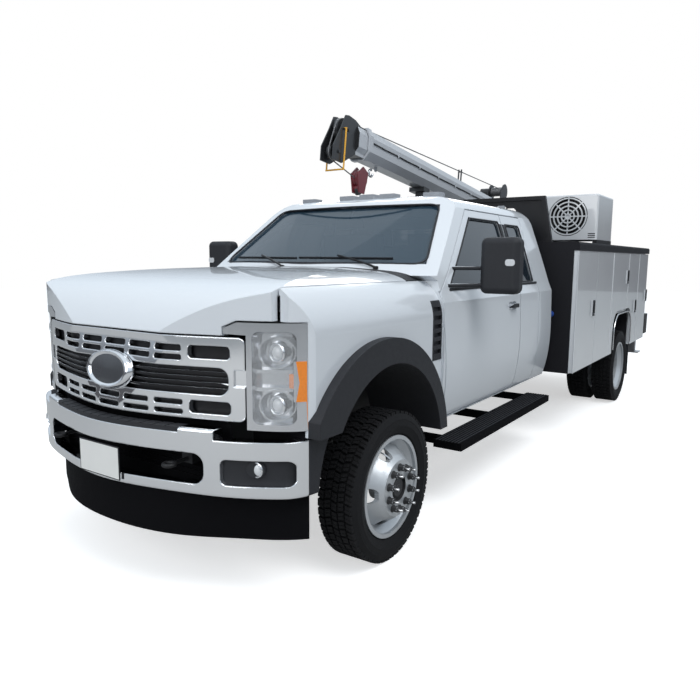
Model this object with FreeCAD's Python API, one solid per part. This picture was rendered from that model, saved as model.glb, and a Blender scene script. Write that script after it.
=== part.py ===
import FreeCAD, Part
import functools
import math
import os

vector = FreeCAD.Vector

# Whole truck: X runs forward from the front axle, Y to its left, Z up from the ground
wheelbase = 4877.0
front_overhang = 1030.0
rear_overhang = 1580.0
front_axle_x = (wheelbase + rear_overhang - front_overhang) / 2
front_end_x = front_overhang
rear_end_x = -wheelbase - rear_overhang
overrun = 20.0
fit_gap = 0.3
seat_gap = 0.5

# Wheels and tyres
tyre_radius = 403.0
tyre_width = 226.0
tyre_bore_radius = 262.0
tyre_shoulder = 26.0
tread_half_share = 0.42
rim_width = 176.0
rim_wall = 9.0
rim_flange = 12.0
rim_well_depth = 38.0
rim_well_share = 0.45
disc_offset = 136.0
disc_thickness = 12.0
disc_face_radius = 150.0
disc_shoulder_radius = 172.0
disc_shoulder_drop = 26.0
hand_hole_radius = 26.0
hand_hole_circle = 194.0
hand_hole_count = 5
hand_hole_phase = 18.0
hand_hole_spread = 4.0
stud_circle = 112.5
stud_count = 10
nut_radius = 15.0
nut_length = 32.0
hub_radius = 84.0
hub_reach = 70.0
hub_wall = 14.0
hub_open_radius = 70.0
hub_recess = 18.0
axle_z = tyre_radius
front_wheel_y = 950.0
rear_hub_face_y = 940.0
spindle_radius = 34.0
running_fit = 0.05

# Steering knuckles and front axle
kingpin_y = 790.0
kingpin_radius = 20.0
yoke_rise = 118.0
yoke_thickness = 34.0
yoke_half = 34.0
knuckle_gap = 1.0
axle_tube_radius = 48.0
front_diff_radius = 150.0
front_diff_width = 210.0
front_diff_y = 260.0
arm_radius = 26.0
arm_reach = 900.0
arm_rise = 144.0
arm_y = 500.0
coil_radius = 68.0
coil_wire = 11.0
coil_turns = 5
coil_pitch = 44.0
coil_y = 560.0

# Rear axle and leaf springs
rear_tube_radius = 62.0
rear_diff_radius = 205.0
rear_diff_width = 230.0
rear_axle_end_y = 640.0
leaf_y = 530.0
leaf_width = 76.0
leaf_thickness = 14.0
leaf_half_span = 700.0
leaf_count = 5
leaf_arch = 90.0
shaft_radius = 45.0
shaft_yoke_length = 90.0

# Frame
rail_y = 430.0
rail_flange = 70.0
rail_depth = 230.0
rail_wall = 9.0
frame_top_z = 860.0
frame_front_x = 760.0
frame_tail = 1353.0
frame_rear_x = -wheelbase - frame_tail
cross_member_front_x = (560.0, -1500.0, -2400.0)
cross_member_from_rear_axle = (1577.0, 777.0, -613.0, -1273.0)
cross_member_x = cross_member_front_x + tuple(place - wheelbase for place in cross_member_from_rear_axle)
cross_member_width = 110.0
cross_member_depth = 150.0
bracket_half = 95.0

support_x = (640.0, 699.7)
support_z = (1150.0, 1230.0)
support_stop_y = 300.0
support_stop_half = 25.0
mount_half = 50.0
mount_height = 60.0

# Engine, tank and exhaust
engine_front_x = 420.0
engine_length = 900.0
engine_half_width = 320.0
engine_bottom_z = 620.0
engine_height = 620.0
gearbox_length = 900.0
gearbox_half_width = 190.0
gearbox_bottom_z = 470.0
gearbox_height = 360.0
tank_behind_axle = 683.0
tank_front_x = -wheelbase - tank_behind_axle
tank_length = 500.0
tank_half_width = 370.0
tank_bottom_z = 520.0
tank_height = 300.0
tank_round = 40.0
exhaust_y = -604.0
exhaust_z = 548.0
exhaust_radius = 45.0
exhaust_front_x = -1150.0
muffler_front_x = -1850.0
muffler_length = 900.0
muffler_radius = 98.0
hanger_front_x = -1300.0
hanger_inset = 60.0
hanger_x = (hanger_front_x, muffler_front_x - muffler_length + hanger_inset)
hanger_half = 12.0
tail_pipe_ahead = 1127.0
tail_pipe_x = -wheelbase + tail_pipe_ahead
tail_pipe_bend = 160.0
tail_pipe_end_y = -1010.0

# Cab
cab_half_width = 1016.0
cab_floor_z = 600.0
cab_roof_z = 2060.0
cab_front_x = -640.0
cab_back_x = -2743.0
cab_wall = 60.0
floor_pan = 30.0
rocker_inner_y = 760.0
pillar_wall = 50.0
belt_z = 1400.0
cab_height = cab_roof_z - cab_floor_z
side_shares = ((0.945, 0.0), (0.984, 0.11), (1.0, 0.377), (0.994, 0.507))
shoulder_shares = ((0.994, 0.507), (0.965, 0.555))
window_shares = ((0.965, 0.555), (0.88, 0.74), (0.79, 0.921))
crown_shares = ((0.79, 0.921), (0.735, 0.957), (0.59, 0.981), (0.3, 0.996))
cowl_x = -500.0
cowl_z = 1520.0
header_x = -1235.0
header_z = 2016.0
header_slope_share = 0.55
roof_round = 60.0
roof_peak_x = -1800.0
roof_back_x = -2500.0
roof_back_z = 2030.0
back_slope_x = -2700.0
back_slope_z = 1900.0
screen_base_x = -475.0
screen_base_side_x = -612.0
screen_base_y = 844.0
screen_base_z = 1500.0
screen_top_x = -1200.0
screen_top_side_x = -1290.0
screen_top_y = 687.0
screen_top_z = 2040.0
screen_lean_share = 1.7
windshield_margin = 95.0
windshield_side_top = 690.0
windshield_side_base = 850.0
glass_thickness = 5.0
glass_depth = 14.0
rear_glass_half_width = 560.0
rear_glass_bottom_z = 1480.0
rear_glass_top_z = 1880.0
roof_lamp_y = (0.0, 182.0, 547.0)
roof_lamp_x = -1330.0
roof_lamp_half_width = 62.0
roof_lamp_length = 95.0
roof_lamp_height = 20.0
lamp_fall_share = 0.02

# Cab doors
door_thickness = 100.0
frame_thickness = 46.0
door_lip = 12.0
door_setback = 32.0
door_gap = 8.0
door_meeting_gap = 12.0
door_bottom_z = 616.0
door_top_z = 1936.0
front_door_x = -646.0
front_door_bottom_x = -712.0
front_door_back_x = -1960.0
rear_door_back_x = -2405.0
door_pillar_foot_x = -790.0
door_pillar_foot_z = 1500.0
door_pillar_top_x = -1345.0
door_nose_z = 1400.0
front_door_notch_z = 1217.0
window_bottom_z = 1425.0
window_top_z = 1895.0
window_margin = 48.0
rear_window_margin = 62.0
door_inset = 150.0
door_inside_y = cab_half_width - door_inset
door_reach_y = cab_half_width + overrun * 5
roof_share = 0.75

handle_door_x = (-1852.0, -1738.0)
handle_door_z = (1246.0, 1274.0)
handle_cup_grow = 14.0
handle_cup_depth = 16.0
handle_stand_off = (-30.0, -14.0)
handle_end = 20.0

# Mirrors
mirror_y = (1085.0, 1335.0)
mirror_z = (1385.0, 1735.0)
mirror_x = (-1090.0, -960.0)
mirror_round = 40.0
mirror_glass_margin = 16.0
mirror_glass_depth = 8.0
mirror_split_z = 1480.0
mirror_lamp_y = (1255.0, 1315.0)
mirror_lamp_z = (1560.0, 1600.0)
mirror_lamp_rise = 4.0
mirror_arm_radius = 12.0
mirror_arm_roots = ((-762.0, 965.0, 1438.0), (-892.0, 931.0, 1543.0))

# Nose: hood, fenders, grille and lamps
nose_half_width = 1000.0
nose_bottom_z = 600.0
nose_skin = 26.0
nose_back_x = cab_front_x + fit_gap
hood_top_x = (-440.0, 0.0, 400.0, 680.0, 810.0, 880.0, 917.0)
hood_top_z = (1545.0, 1530.0, 1507.0, 1470.0, 1415.0, 1335.0, 1262.0)
nose_section_y = (1000.0, 985.0, 930.0, 860.0, 600.0, 0.0)
nose_section_z = (1250.0, 1335.0, 1425.0, 1475.0, 1530.0, 1552.0)
nose_plan_x = (450.0, 648.0, 725.0, 790.0, 838.0, 925.0, 965.0)
nose_plan_y = (1000.0, 975.0, 885.0, 745.0, 608.0, 300.0, 0.0)
nose_front_top_x = 905.0
nose_front_top_z = 1216.0
nose_front_low_z = 884.0
hood_half_width = 862.0
hood_gap = 8.0
hood_back_x = -430.0
hood_skin = 32.0
hood_bottom_z = 1258.0
arch_x = 0.0
arch_z = 500.0
arch_radius = 560.0
flare_outer_radius = 700.0
flare_outer_shift = 50.0
flare_y = (930.0, 1050.0)
flare_bottom_z = 590.0
liner_y = 560.0
liner_wall = 12.0
grille_half_width = 745.0
grille_z = (872.0, 1250.0)
grille_round = 30.0
grille_skin = 26.0
grille_back = 50.0
grille_backing = 12.0
grille_rim = 14.0
grille_stay_half = 25.0
slot_y = (0.0, 185.0, 370.0)
slot_half = 77.0
slot_rows = ((887.0, 911.0), (931.0, 956.0), (1138.0, 1164.0), (1179.0, 1209.0))
end_slot_y = (478.0, 680.0)
end_slot_rows = ((898.0, 958.0), (1150.0, 1209.0))
slot_round = 10.0
middle_half = 672.0
middle_z = (986.0, 1112.0)
middle_round = 50.0
bar_count = 4
bar_height = 11.0
bar_depth = (5.0, 30.0)
emblem_half = (150.0, 85.0)
emblem_depth = (-7.0, 24.0)
emblem_z = 1060.0
end_strip_y = (695.0, 760.0)
end_strip_z = (1030.0, 1105.0)
end_strip_depth = 12.0
lamp_z = (838.0, 1318.0)
lamp_y = (752.0, 978.0)
lamp_x = (640.0, 700.0)
lamp_arm_y = 652.0
lamp_arm_height = 26.0
lamp_arm_slope = 60.0
lens_y = (777.0, 948.0)
lens_z = (866.0, 1280.0)
lens_round = 34.0
lens_depth = (3.0, 7.0)
lamp_pocket = 62.0
reflector_y = 862.0
reflector_z = (950.0, 1186.0)
reflector_radius = 72.0
reflector_wall = 5.0
bulb_radius = 30.0
lamp_bar_z = (1020.0, 1100.0)
lamp_bar_half = 9.0
side_marker_x = (646.0, 682.0)
side_marker_z = (972.0, 1152.0)
side_marker_rise = 3.0
vent_x = (-630.0, -518.0)
vent_z = (1004.0, 1356.0)
vent_inner_y = 945.0
vent_margin = 10.0
vent_louvres = 6
bumper_plan_x = (470.0, 560.0, 640.0, 705.0, 770.0, 850.0, 955.0, 1026.0)
bumper_plan_y = (1000.0, 996.0, 984.0, 955.0, 880.0, 740.0, 430.0, 0.0)
bumper_end_x = 640.0
bumper_wall = 60.0
bumper_z = (533.0, 795.0)
bumper_round = 14.0
bumper_centre_top_z = 842.0
bumper_centre_half = 640.0
bumper_opening_half = 595.0
bumper_opening_z = (585.0, 730.0)
bumper_opening_round = 55.0
fog_y = (668.0, 960.0)
fog_z = (592.0, 712.0)
fog_round = 30.0
fog_depth = (22.0, 38.0)
fog_lamp_y = 810.0
fog_lamp_z = 668.0
fog_lamp_radius = 38.0
step_pad_half = 472.0
step_pad_depth = 22.0
step_pad_ribs = 14
step_pad_rib = 5.0
plate_half = 150.0
plate_z = (555.0, 707.0)
plate_thickness = 4.0
tow_hook_z = 665.0
tow_hook_radius = 26.0
tow_hook_wire = 10.0
tow_hook_x = 960.0
dam_plan_x = (600.0, 690.0, 775.0, 905.0, 985.0)
dam_plan_y = (955.0, 850.0, 700.0, 450.0, 0.0)
dam_wall = 30.0
dam_z = (310.0, bumper_z[0] - fit_gap)

# Running boards and mud flaps
board_y = (880.0, 1075.0)
board_z = (395.0, 445.0)
board_x = (-2600.0, -800.0)
board_bracket_x = (-900.0, -1700.0, -2500.0)
board_bracket_half = 30.0
flap_thickness = 10.0
flap_behind_well = 70.0
flap_bottom_z = 230.0

# Service body
body_half_width = 1194.0
body_cab_gap = 137.0
body_tail = 1373.0
body_front_x = cab_back_x - body_cab_gap
body_rear_x = -wheelbase - body_tail
body_bottom_z = 598.0
body_top_z = 1686.0
body_cap_z = 1758.0
comp_depth = 500.0
comp_inner_y = body_half_width - comp_depth
comp_wall = 25.0
comp_door_thickness = 45.0
comp_face_y = body_half_width - comp_door_thickness - seat_gap
comp_post = 50.0
comp_door_margin = 6.0
comp_door_gap = 10.0
comp_end_lap = 4.0
well_ahead = 437.0
well_behind = 473.0
well_front_x = -wheelbase + well_ahead
well_rear_x = -wheelbase - well_behind
well_top_z = 1014.0
well_round = 210.0
well_margin = 36.0
arch_seam_ahead = 168.0
arch_seam_x = well_front_x + arch_seam_ahead
arch_seam_behind_axle = 189.0
rear_seam_behind_well = 319.0
front_bay_share = 0.514
comp_seam_x = (body_front_x - comp_end_lap,
               body_front_x - comp_end_lap + (arch_seam_x - body_front_x + comp_end_lap) * front_bay_share,
               arch_seam_x, -wheelbase - arch_seam_behind_axle, well_rear_x - rear_seam_behind_well,
               body_rear_x + comp_end_lap)
comp_hinge_front = (True, False, True, True, True)
comp_hinge_radius = 4.5
comp_door_names = ("a", "b", "c", "d", "e")
handle_from_seam = (120.0, None, 78.0, 146.0, 56.0)
handle_x = tuple(inset and seam + inset for inset, seam in zip(handle_from_seam, comp_seam_x[1:]))
handle_z = (1151.0, None, 1415.0, 1054.0, 1157.0)
flap_x = well_rear_x - flap_behind_well
flap_y = (comp_inner_y + comp_wall, body_half_width - comp_door_thickness / 2)
handle_height = 150.0
handle_width = 62.0
handle_rise = 9.0
deck_z = (905.0, 940.0)
deck_sill_y = (rail_y - rail_flange / 2, rail_y + rail_flange / 2)
bulkhead_wall = 40.0
bulkhead_top_z = 1740.0
gate_wall = 45.0
gate_gap = 8.0
gate_floor_gap = 16.0
gate_bottom_z = 922.0
gate_top_z = 1420.0
gate_pin_radius = 12.0
gate_pin_reach = 18.0
rack_setback = (45.0, 5.0)
rack_x = (body_front_x - rack_setback[0], body_front_x - rack_setback[1])
rack_base_inset = 249.0
rack_top_inset = 78.0
rack_base_half = body_half_width - rack_base_inset
rack_top_half = rack_base_half - rack_top_inset
rack_base_z = body_cap_z
rack_top_z = 2160.0
rack_tube = 34.0
rack_plate = 6.0
rack_cell_width = 105.0
rack_cell_height = 46.0
rack_cell_web = 10.0
rack_cell_rows = 5
rack_cell_columns = 13
rack_cell_bottom_z = 1815.0
compressor_setback = (1490.0, 870.0)
compressor_inset = (654.0, 74.0)
compressor_x = (body_front_x - compressor_setback[0], body_front_x - compressor_setback[1])
compressor_y = (body_half_width - compressor_inset[0], body_half_width - compressor_inset[1])
compressor_z = (1800.0, 2240.0)
compressor_rail = 40.0
compressor_round = 18.0
fan_radius = 192.0
fan_rings = 5
fan_gap_share = 0.2
fan_ring_width = 13.0
fan_spokes = 4
fan_depth = 12.0
vent_slot_rows = 3
vent_slot_length = 70.0
vent_slot_width = 9.0
fan_y = (compressor_y[0] + compressor_y[1]) / 2
fan_z = 2030.0

# Rear bumper and stabilisers
rear_step_gap = 12.0
rear_step_inset = 4.0
lamp_pod_depth = 14.0
rear_step_x = (rear_end_x + lamp_pod_depth, body_rear_x - rear_step_gap)
rear_step_z = (650.0, 905.0)
rear_step_half = body_half_width - rear_step_inset
rear_step_wall = 8.0
leg_from_end = 107.0
leg_inset = 154.0
leg_x = rear_end_x + leg_from_end
leg_y = body_half_width - leg_inset
leg_half = 42.0
leg_top_z = 890.0
leg_sleeve_gap = 0.8
foot_half = 95.0
foot_thickness = 14.0
foot_z = 385.0
receiver_half = 32.0
receiver_wall = 7.0
receiver_length = 160.0
receiver_z = 560.0
hitch_pin_radius = 8.25
hitch_pin_inset = 45.0
lamp_pod_inset = (294.0, 44.0)
lamp_pod_y = (body_half_width - lamp_pod_inset[0], body_half_width - lamp_pod_inset[1])
lamp_pod_height = 110.0
lamp_pod_z = rear_step_z[0] + lamp_pod_height / 2

# Crane
mast_from_tail = 320.0
mast_inset = 294.0
mast_x = body_rear_x + mast_from_tail
mast_y = -body_half_width + mast_inset
ring_radius = 190.0
ring_height = 80.0
ring_gap = 0.5
mast_base_height = 70.0
pedestal_radius = 150.0
mast_plate = 22.0
mast_pin_end = 11.0
mast_inner_half = 142.0
mast_reach = (230.0, 330.0)
mast_rear_x = mast_x - mast_reach[0]
mast_front_x = mast_x + mast_reach[1]
mast_crown = 100.0
boom_pivot_setback = 120.0
boom_pivot_x = mast_x - boom_pivot_setback
boom_pivot_z = 2290.0
boom_angle = 6.86
boom_pin_radius = 32.0
boom_half_width = 122.0
boom_half_height = 140.0
boom_corner_share = 0.5
boom_top_share = 0.72
boom_foot_share = 0.55
boom_room_share = 0.15
boom_wall = 8.0
boom_tail = 150.0
boom_length = 3500.0
boom_collar = 60.0
boom_collar_rise = 14.0
inner_gap = 6.0
inner_tail = 400.0
inner_boom_wall = 8.0
head_plate = 12.0
head_half = 62.0
head_start = 150.0
head_length = 505.0
sheave_radius = 112.0
sheave_width = 44.0
sheave_along = 290.0
sheave_up = 52.0
nose_sheave_radius = 62.0
nose_sheave_along = 420.0
nose_sheave_down = 180.0
head_top_up = 186.0
head_low_down = 272.0
guard_along = 360.0
guard_drop = 330.0
guard_radius = 8.0
rope_radius = 6.0
winch_along = -180.0
winch_up = 316.0
drum_radius = 58.0
drum_half = 92.0
drum_flange_radius = 105.0
drum_flange = 12.0
winch_foot = 145.0
drum_turns = 15
guide_along = 1150.0
guide_plate = 10.0
winch_motor_radius = 62.0
winch_motor_length = 150.0
cylinder_root_reach = 240.0
cylinder_root_x = mast_x + cylinder_root_reach
cylinder_root_z = 1985.0
cylinder_radius = 46.0
cylinder_eye = 44.0
cylinder_eye_half = 30.0
cylinder_pin_radius = 22.0
cylinder_wall = 9.0
rod_radius = 26.0
rod_eye = 36.0
rod_pin_along = 1250.0
rod_pin_down = 215.0
rod_lug_half = 42.0
rod_lug_plate = 16.0
rod_overlap = 90.0
hook_along = 3445.0
hook_down = 334.0
hook_half_height = 130.0
hook_half_length = 95.0
hook_half = 45.0
hook_cheek = 14.0
hook_wire = 12.0
hook_throat = 34.0
hook_bracket_along = 3150.0
hook_bracket_drop = 42.0
rest_reach = 2060.0
rest_x = mast_x + rest_reach
rest_half_length = 70.0
rest_half_width = 95.0
rest_pad = 50.0
rest_gap = 2.0
rest_post_half = 40.0

# Cab interior
dash_x = (-1020.0, -700.0)
dash_z = (1150.0, 1440.0)
dash_half_width = 840.0
steering_y = 400.0
steering_x = -1180.0
steering_z = 1400.0
steering_radius = 190.0
steering_rim = 15.0
steering_spoke = 12.0
column_length = 288.0
steering_tilt = 25.0
seat_y = 420.0
seat_half_width = 270.0
seat_from_back = (893.0, 1413.0)
seat_x = (cab_back_x + seat_from_back[0], cab_back_x + seat_from_back[1])
seat_z = (1130.0, 1265.0)
seat_back_top_z = 1800.0
seat_back_thickness = 130.0
bench_from_back = (143.0, 513.0)
bench_x = (cab_back_x + bench_from_back[0], cab_back_x + bench_from_back[1])
bench_half_width = 720.0
bench_back_top_z = 1720.0


def box(x, y, z):
    """Block between three pairs of limits"""
    size = [max(pair) - min(pair) for pair in (x, y, z)]
    return Part.makeBox(size[0], size[1], size[2], vector(min(x), min(y), min(z)))


def outline(points, plane, at):
    """Closed polygon of (a, b) points on the xy, xz or yz plane"""
    place = {"xy": lambda a, b: vector(a, b, at),
             "xz": lambda a, b: vector(a, at, b),
             "yz": lambda a, b: vector(at, a, b)}[plane]
    corners = [place(a, b) for a, b in points]
    return Part.makePolygon(corners + corners[:1])


def drawn_in(stretches, inset):
    """Stretches of a closed outline moved inward, each point along the mitre of its corner"""
    loop = [point for stretch in stretches for point in stretch[:-1]]
    turned = sum(a[0] * b[1] - b[0] * a[1] for a, b in zip(loop, loop[1:] + loop[:1]))
    side = inset if turned > 0 else -inset
    moved = []
    for before, here, after in zip(loop[-1:] + loop[:-1], loop, loop[1:] + loop[:1]):
        lengths = math.dist(before, here), math.dist(here, after)
        normal_in = ((before[1] - here[1]) / lengths[0], (here[0] - before[0]) / lengths[0])
        normal_out = ((here[1] - after[1]) / lengths[1], (after[0] - here[0]) / lengths[1])
        reach = side / (1 + normal_in[0] * normal_out[0] + normal_in[1] * normal_out[1])
        moved.append((here[0] + (normal_in[0] + normal_out[0]) * reach,
                      here[1] + (normal_in[1] + normal_out[1]) * reach))
    result, start = [], 0
    for stretch in stretches:
        end = start + len(stretch) - 1
        result.append([moved[index % len(moved)] for index in range(start, end + 1)])
        start = end
    return result


def curved_outline(stretches, plane, at):
    """Closed outline of stretches that share their ends; three or more points make one smooth curve"""
    place = {"xy": lambda a, b: vector(a, b, at),
             "xz": lambda a, b: vector(a, at, b),
             "yz": lambda a, b: vector(at, a, b)}[plane]
    edges = []
    for stretch in stretches:
        corners = [place(a, b) for a, b in stretch]
        if len(corners) == 2:
            edges.append(Part.makeLine(corners[0], corners[1]))
        else:
            curve = Part.BSplineCurve()
            curve.interpolate(corners)
            edges.append(curve.toShape())
    return Part.Wire(edges)


def curved_prism(stretches, plane, limits, inset=0.0):
    """Smooth closed outline swept between two limits, drawn in by an inset"""
    low, high = min(limits), max(limits)
    along = {"xy": vector(0, 0, high - low),
             "xz": vector(0, high - low, 0),
             "yz": vector(high - low, 0, 0)}[plane]
    wire = curved_outline(drawn_in(stretches, inset), plane, low)
    return Part.Face(wire).extrude(along)


def prism(points, plane, limits, inset=0.0):
    """Closed outline swept between two limits, drawn in by an inset"""
    low, high = min(limits), max(limits)
    along = {"xy": vector(0, 0, high - low),
             "xz": vector(0, high - low, 0),
             "yz": vector(high - low, 0, 0)}[plane]
    wire = outline(points, plane, low)
    if inset:
        wire = wire.makeOffset2D(-inset, 2)
    return Part.Face(wire).extrude(along)


def rod(axis, a, b, radius, limits):
    """Round bar along an axis through the other two coordinates"""
    low, high = min(limits), max(limits)
    start = {"x": vector(low, a, b), "y": vector(a, low, b), "z": vector(a, b, low)}[axis]
    way = {"x": vector(1, 0, 0), "y": vector(0, 1, 0), "z": vector(0, 0, 1)}[axis]
    return Part.makeCylinder(radius, high - low, start, way)


def bar(start, end, radius):
    """Round bar between two points"""
    way = end - start
    return Part.makeCylinder(radius, way.Length, start, way)


def fuse(shapes):
    """One solid from several that meet"""
    first = shapes[0]
    return first.multiFuse(shapes[1:]).removeSplitter() if len(shapes) > 1 else first


def mirrored(shape):
    """The same piece on the other side of the truck"""
    return shape.mirror(vector(0, 0, 0), vector(0, 1, 0))


def both(shape):
    """A piece and its mirror image"""
    return [shape, mirrored(shape)]


def ring_profile(points, x, y, z):
    """Solid of revolution about a line along Y; points are (offset in y, radius)"""
    corners = [vector(x, y + offset, z + radius) for offset, radius in points]
    face = Part.Face(Part.makePolygon(corners + corners[:1]))
    return face.revolve(vector(x, y, z), vector(0, 1, 0), 360)


def tyre(x, y):
    half = tyre_width / 2
    tread = tyre_width * tread_half_share
    bead = rim_width / 2
    lip = tyre_bore_radius + rim_flange + fit_gap
    points = [(-bead, tyre_bore_radius), (-bead, lip), (-half, tyre_radius - tyre_shoulder * 3),
              (-tread, tyre_radius), (tread, tyre_radius),
              (half, tyre_radius - tyre_shoulder * 3), (bead, lip), (bead, tyre_bore_radius)]
    return ring_profile(points, x, y, axle_z)


def rim(x, y):
    half = rim_width / 2
    seat = tyre_bore_radius - fit_gap
    well = half * rim_well_share
    inner = seat - rim_wall
    points = [(-half - rim_wall, seat + rim_flange), (-half - fit_gap, seat + rim_flange),
              (-half - fit_gap, seat), (-well - rim_well_depth, seat), (-well, seat - rim_well_depth),
              (well, seat - rim_well_depth), (well + rim_well_depth, seat),
              (half + fit_gap, seat), (half + fit_gap, seat + rim_flange),
              (half + rim_wall, seat + rim_flange), (half + rim_wall, inner),
              (well + rim_well_depth, inner), (well, inner - rim_well_depth),
              (-well, inner - rim_well_depth), (-well - rim_well_depth, inner),
              (-half - rim_wall, inner)]
    return ring_profile(points, x, y, axle_z)


def disc(x, y, side):
    """Dished wheel disc, its bolting face offset from the rim's middle towards one side"""
    edge = tyre_bore_radius - fit_gap - rim_wall - rim_well_depth + disc_thickness / 2
    face = side * disc_offset
    back = face - side * disc_thickness
    foot = side * rim_width * rim_well_share / 2
    foot_back = foot - side * disc_thickness
    drop = side * disc_shoulder_drop
    points = [(face, 0.0), (face, disc_face_radius), (face - drop, disc_shoulder_radius), (foot, edge),
              (foot_back, edge), (back - drop, disc_shoulder_radius - disc_thickness),
              (back, disc_face_radius - disc_thickness), (back, 0.0)]
    plate = ring_profile(points, x, y, axle_z)
    low = y + min(foot_back, face) - overrun
    high = y + max(foot_back, face) + overrun
    for index in range(hand_hole_count):
        for shift in (-hand_hole_spread, 0, hand_hole_spread):
            angle = math.radians(hand_hole_phase + shift + index * 360 / hand_hole_count)
            across = x + hand_hole_circle * math.sin(angle)
            up = axle_z + hand_hole_circle * math.cos(angle)
            plate = plate.cut(rod("y", across, up, hand_hole_radius, (low, high)))
    return plate


def nuts(x, y, side):
    """Ring of wheel nuts on the bolting face"""
    ring = []
    for index in range(stud_count):
        angle = math.radians(index * 360 / stud_count)
        ring.append(rod("y", x + stud_circle * math.sin(angle), axle_z + stud_circle * math.cos(angle),
                        nut_radius, (y - side * disc_thickness / 2, y + side * nut_length)))
    return ring


def front_wheel():
    """Left steel wheel with its hub, bored for the spindle"""
    face_y = front_wheel_y + disc_offset
    hub = rod("y", 0, axle_z, hub_radius, (face_y - hub_reach * 2, face_y - disc_thickness / 2))
    solid = fuse([rim(0, front_wheel_y), disc(0, front_wheel_y, 1), hub] + nuts(0, face_y, 1))
    bore = rod("y", 0, axle_z, spindle_radius + running_fit,
               (face_y - hub_reach * 2 - overrun, face_y - hub_recess - hub_wall))
    mouth = rod("y", 0, axle_z, hub_open_radius, (face_y - hub_recess, face_y + overrun))
    return solid.cut(bore).cut(mouth)


def rear_wheels():
    """Left pair of steel wheels back to back on one hub"""
    inner_y = rear_hub_face_y - disc_offset
    outer_y = rear_hub_face_y + disc_offset
    hub = rod("y", -wheelbase, axle_z, hub_radius,
              (rear_hub_face_y - hub_reach * 2, rear_hub_face_y + hub_reach * 2))
    solid = fuse([rim(-wheelbase, inner_y), disc(-wheelbase, inner_y, 1),
                  rim(-wheelbase, outer_y), disc(-wheelbase, outer_y, -1), hub]
                 + nuts(-wheelbase, rear_hub_face_y + disc_thickness, 1))
    bore = rod("y", -wheelbase, axle_z, spindle_radius + running_fit,
               (rear_hub_face_y - hub_reach * 2 - overrun, rear_hub_face_y + hub_reach * 2 - hub_wall))
    return solid.cut(bore)


def knuckle():
    """Left steering knuckle: kingpins above and below, and the wheel's spindle"""
    block_top = yoke_rise - knuckle_gap
    block = rod("z", 0, kingpin_y, yoke_half, (axle_z - block_top, axle_z + block_top))
    pins = rod("z", 0, kingpin_y, kingpin_radius,
               (axle_z - yoke_rise - yoke_thickness, axle_z + yoke_rise + yoke_thickness))
    face_y = front_wheel_y + disc_offset
    spindle = rod("y", 0, axle_z, spindle_radius, (kingpin_y, face_y - hub_recess - hub_wall - knuckle_gap))
    return fuse([block, pins, spindle])


def front_axle():
    """Live front axle with yokes, differential, radius arms, coil springs and propshaft"""
    end = kingpin_y - yoke_half - knuckle_gap
    tube = rod("y", 0, axle_z, axle_tube_radius, (-end + yoke_thickness, end - yoke_thickness))
    parts = [tube]
    for side in (1, -1):
        back = box((-yoke_half, yoke_half),
                   (side * (end - yoke_thickness), side * end),
                   (axle_z - yoke_rise - yoke_thickness, axle_z + yoke_rise + yoke_thickness))
        parts.append(back)
        for up in (1, -1):
            arm = box((-yoke_half, yoke_half),
                      (side * (end - yoke_thickness), side * (kingpin_y + yoke_half)),
                      (axle_z + up * yoke_rise, axle_z + up * (yoke_rise + yoke_thickness)))
            hole = rod("z", 0, side * kingpin_y, kingpin_radius + running_fit,
                       (arm.BoundBox.ZMin - overrun, arm.BoundBox.ZMax + overrun))
            parts.append(arm.cut(hole))
        arm_end = vector(-arm_reach, side * rail_y, axle_z + arm_rise)
        parts.append(bar(vector(0, side * arm_y, axle_z), arm_end, arm_radius))
        parts.append(rod("z", 0, side * coil_y, coil_radius + coil_wire,
                         (axle_z, axle_z + axle_tube_radius + coil_wire * 2)))
    differential = rod("y", 0, axle_z, front_diff_radius,
                       (front_diff_y - front_diff_width / 2, front_diff_y + front_diff_width / 2))
    nose = rod("x", front_diff_y, axle_z, shaft_radius * 2, (-front_diff_radius - shaft_yoke_length, 0))
    shaft_end = vector(engine_front_x - engine_length - gearbox_length + shaft_yoke_length,
                       gearbox_half_width + shaft_radius + shaft_yoke_length, gearbox_bottom_z)
    shaft = bar(vector(-front_diff_radius, front_diff_y, axle_z), shaft_end, shaft_radius)
    return fuse(parts + [differential, nose, shaft])


def coil_spring(side):
    """Front coil spring between the axle's seat and the frame's bracket"""
    foot = axle_z + axle_tube_radius + coil_wire * 2 + fit_gap
    points = [(foot, 0.0)]
    for turn in range(coil_turns):
        low = foot + turn * coil_pitch
        points += [(low, coil_radius + coil_wire), (low + coil_wire * 2, coil_radius + coil_wire),
                   (low + coil_wire * 2, coil_radius - coil_wire),
                   (low + coil_pitch, coil_radius - coil_wire)]
    top = foot + coil_turns * coil_pitch - coil_wire * 2
    points = points[:-1] + [(top, 0.0)]
    points[-2] = (top, coil_radius + coil_wire)
    corners = [vector(radius, side * coil_y, z) for z, radius in points]
    face = Part.Face(Part.makePolygon(corners + corners[:1]))
    return face.revolve(vector(0, side * coil_y, 0), vector(0, 0, 1), 360)


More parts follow.
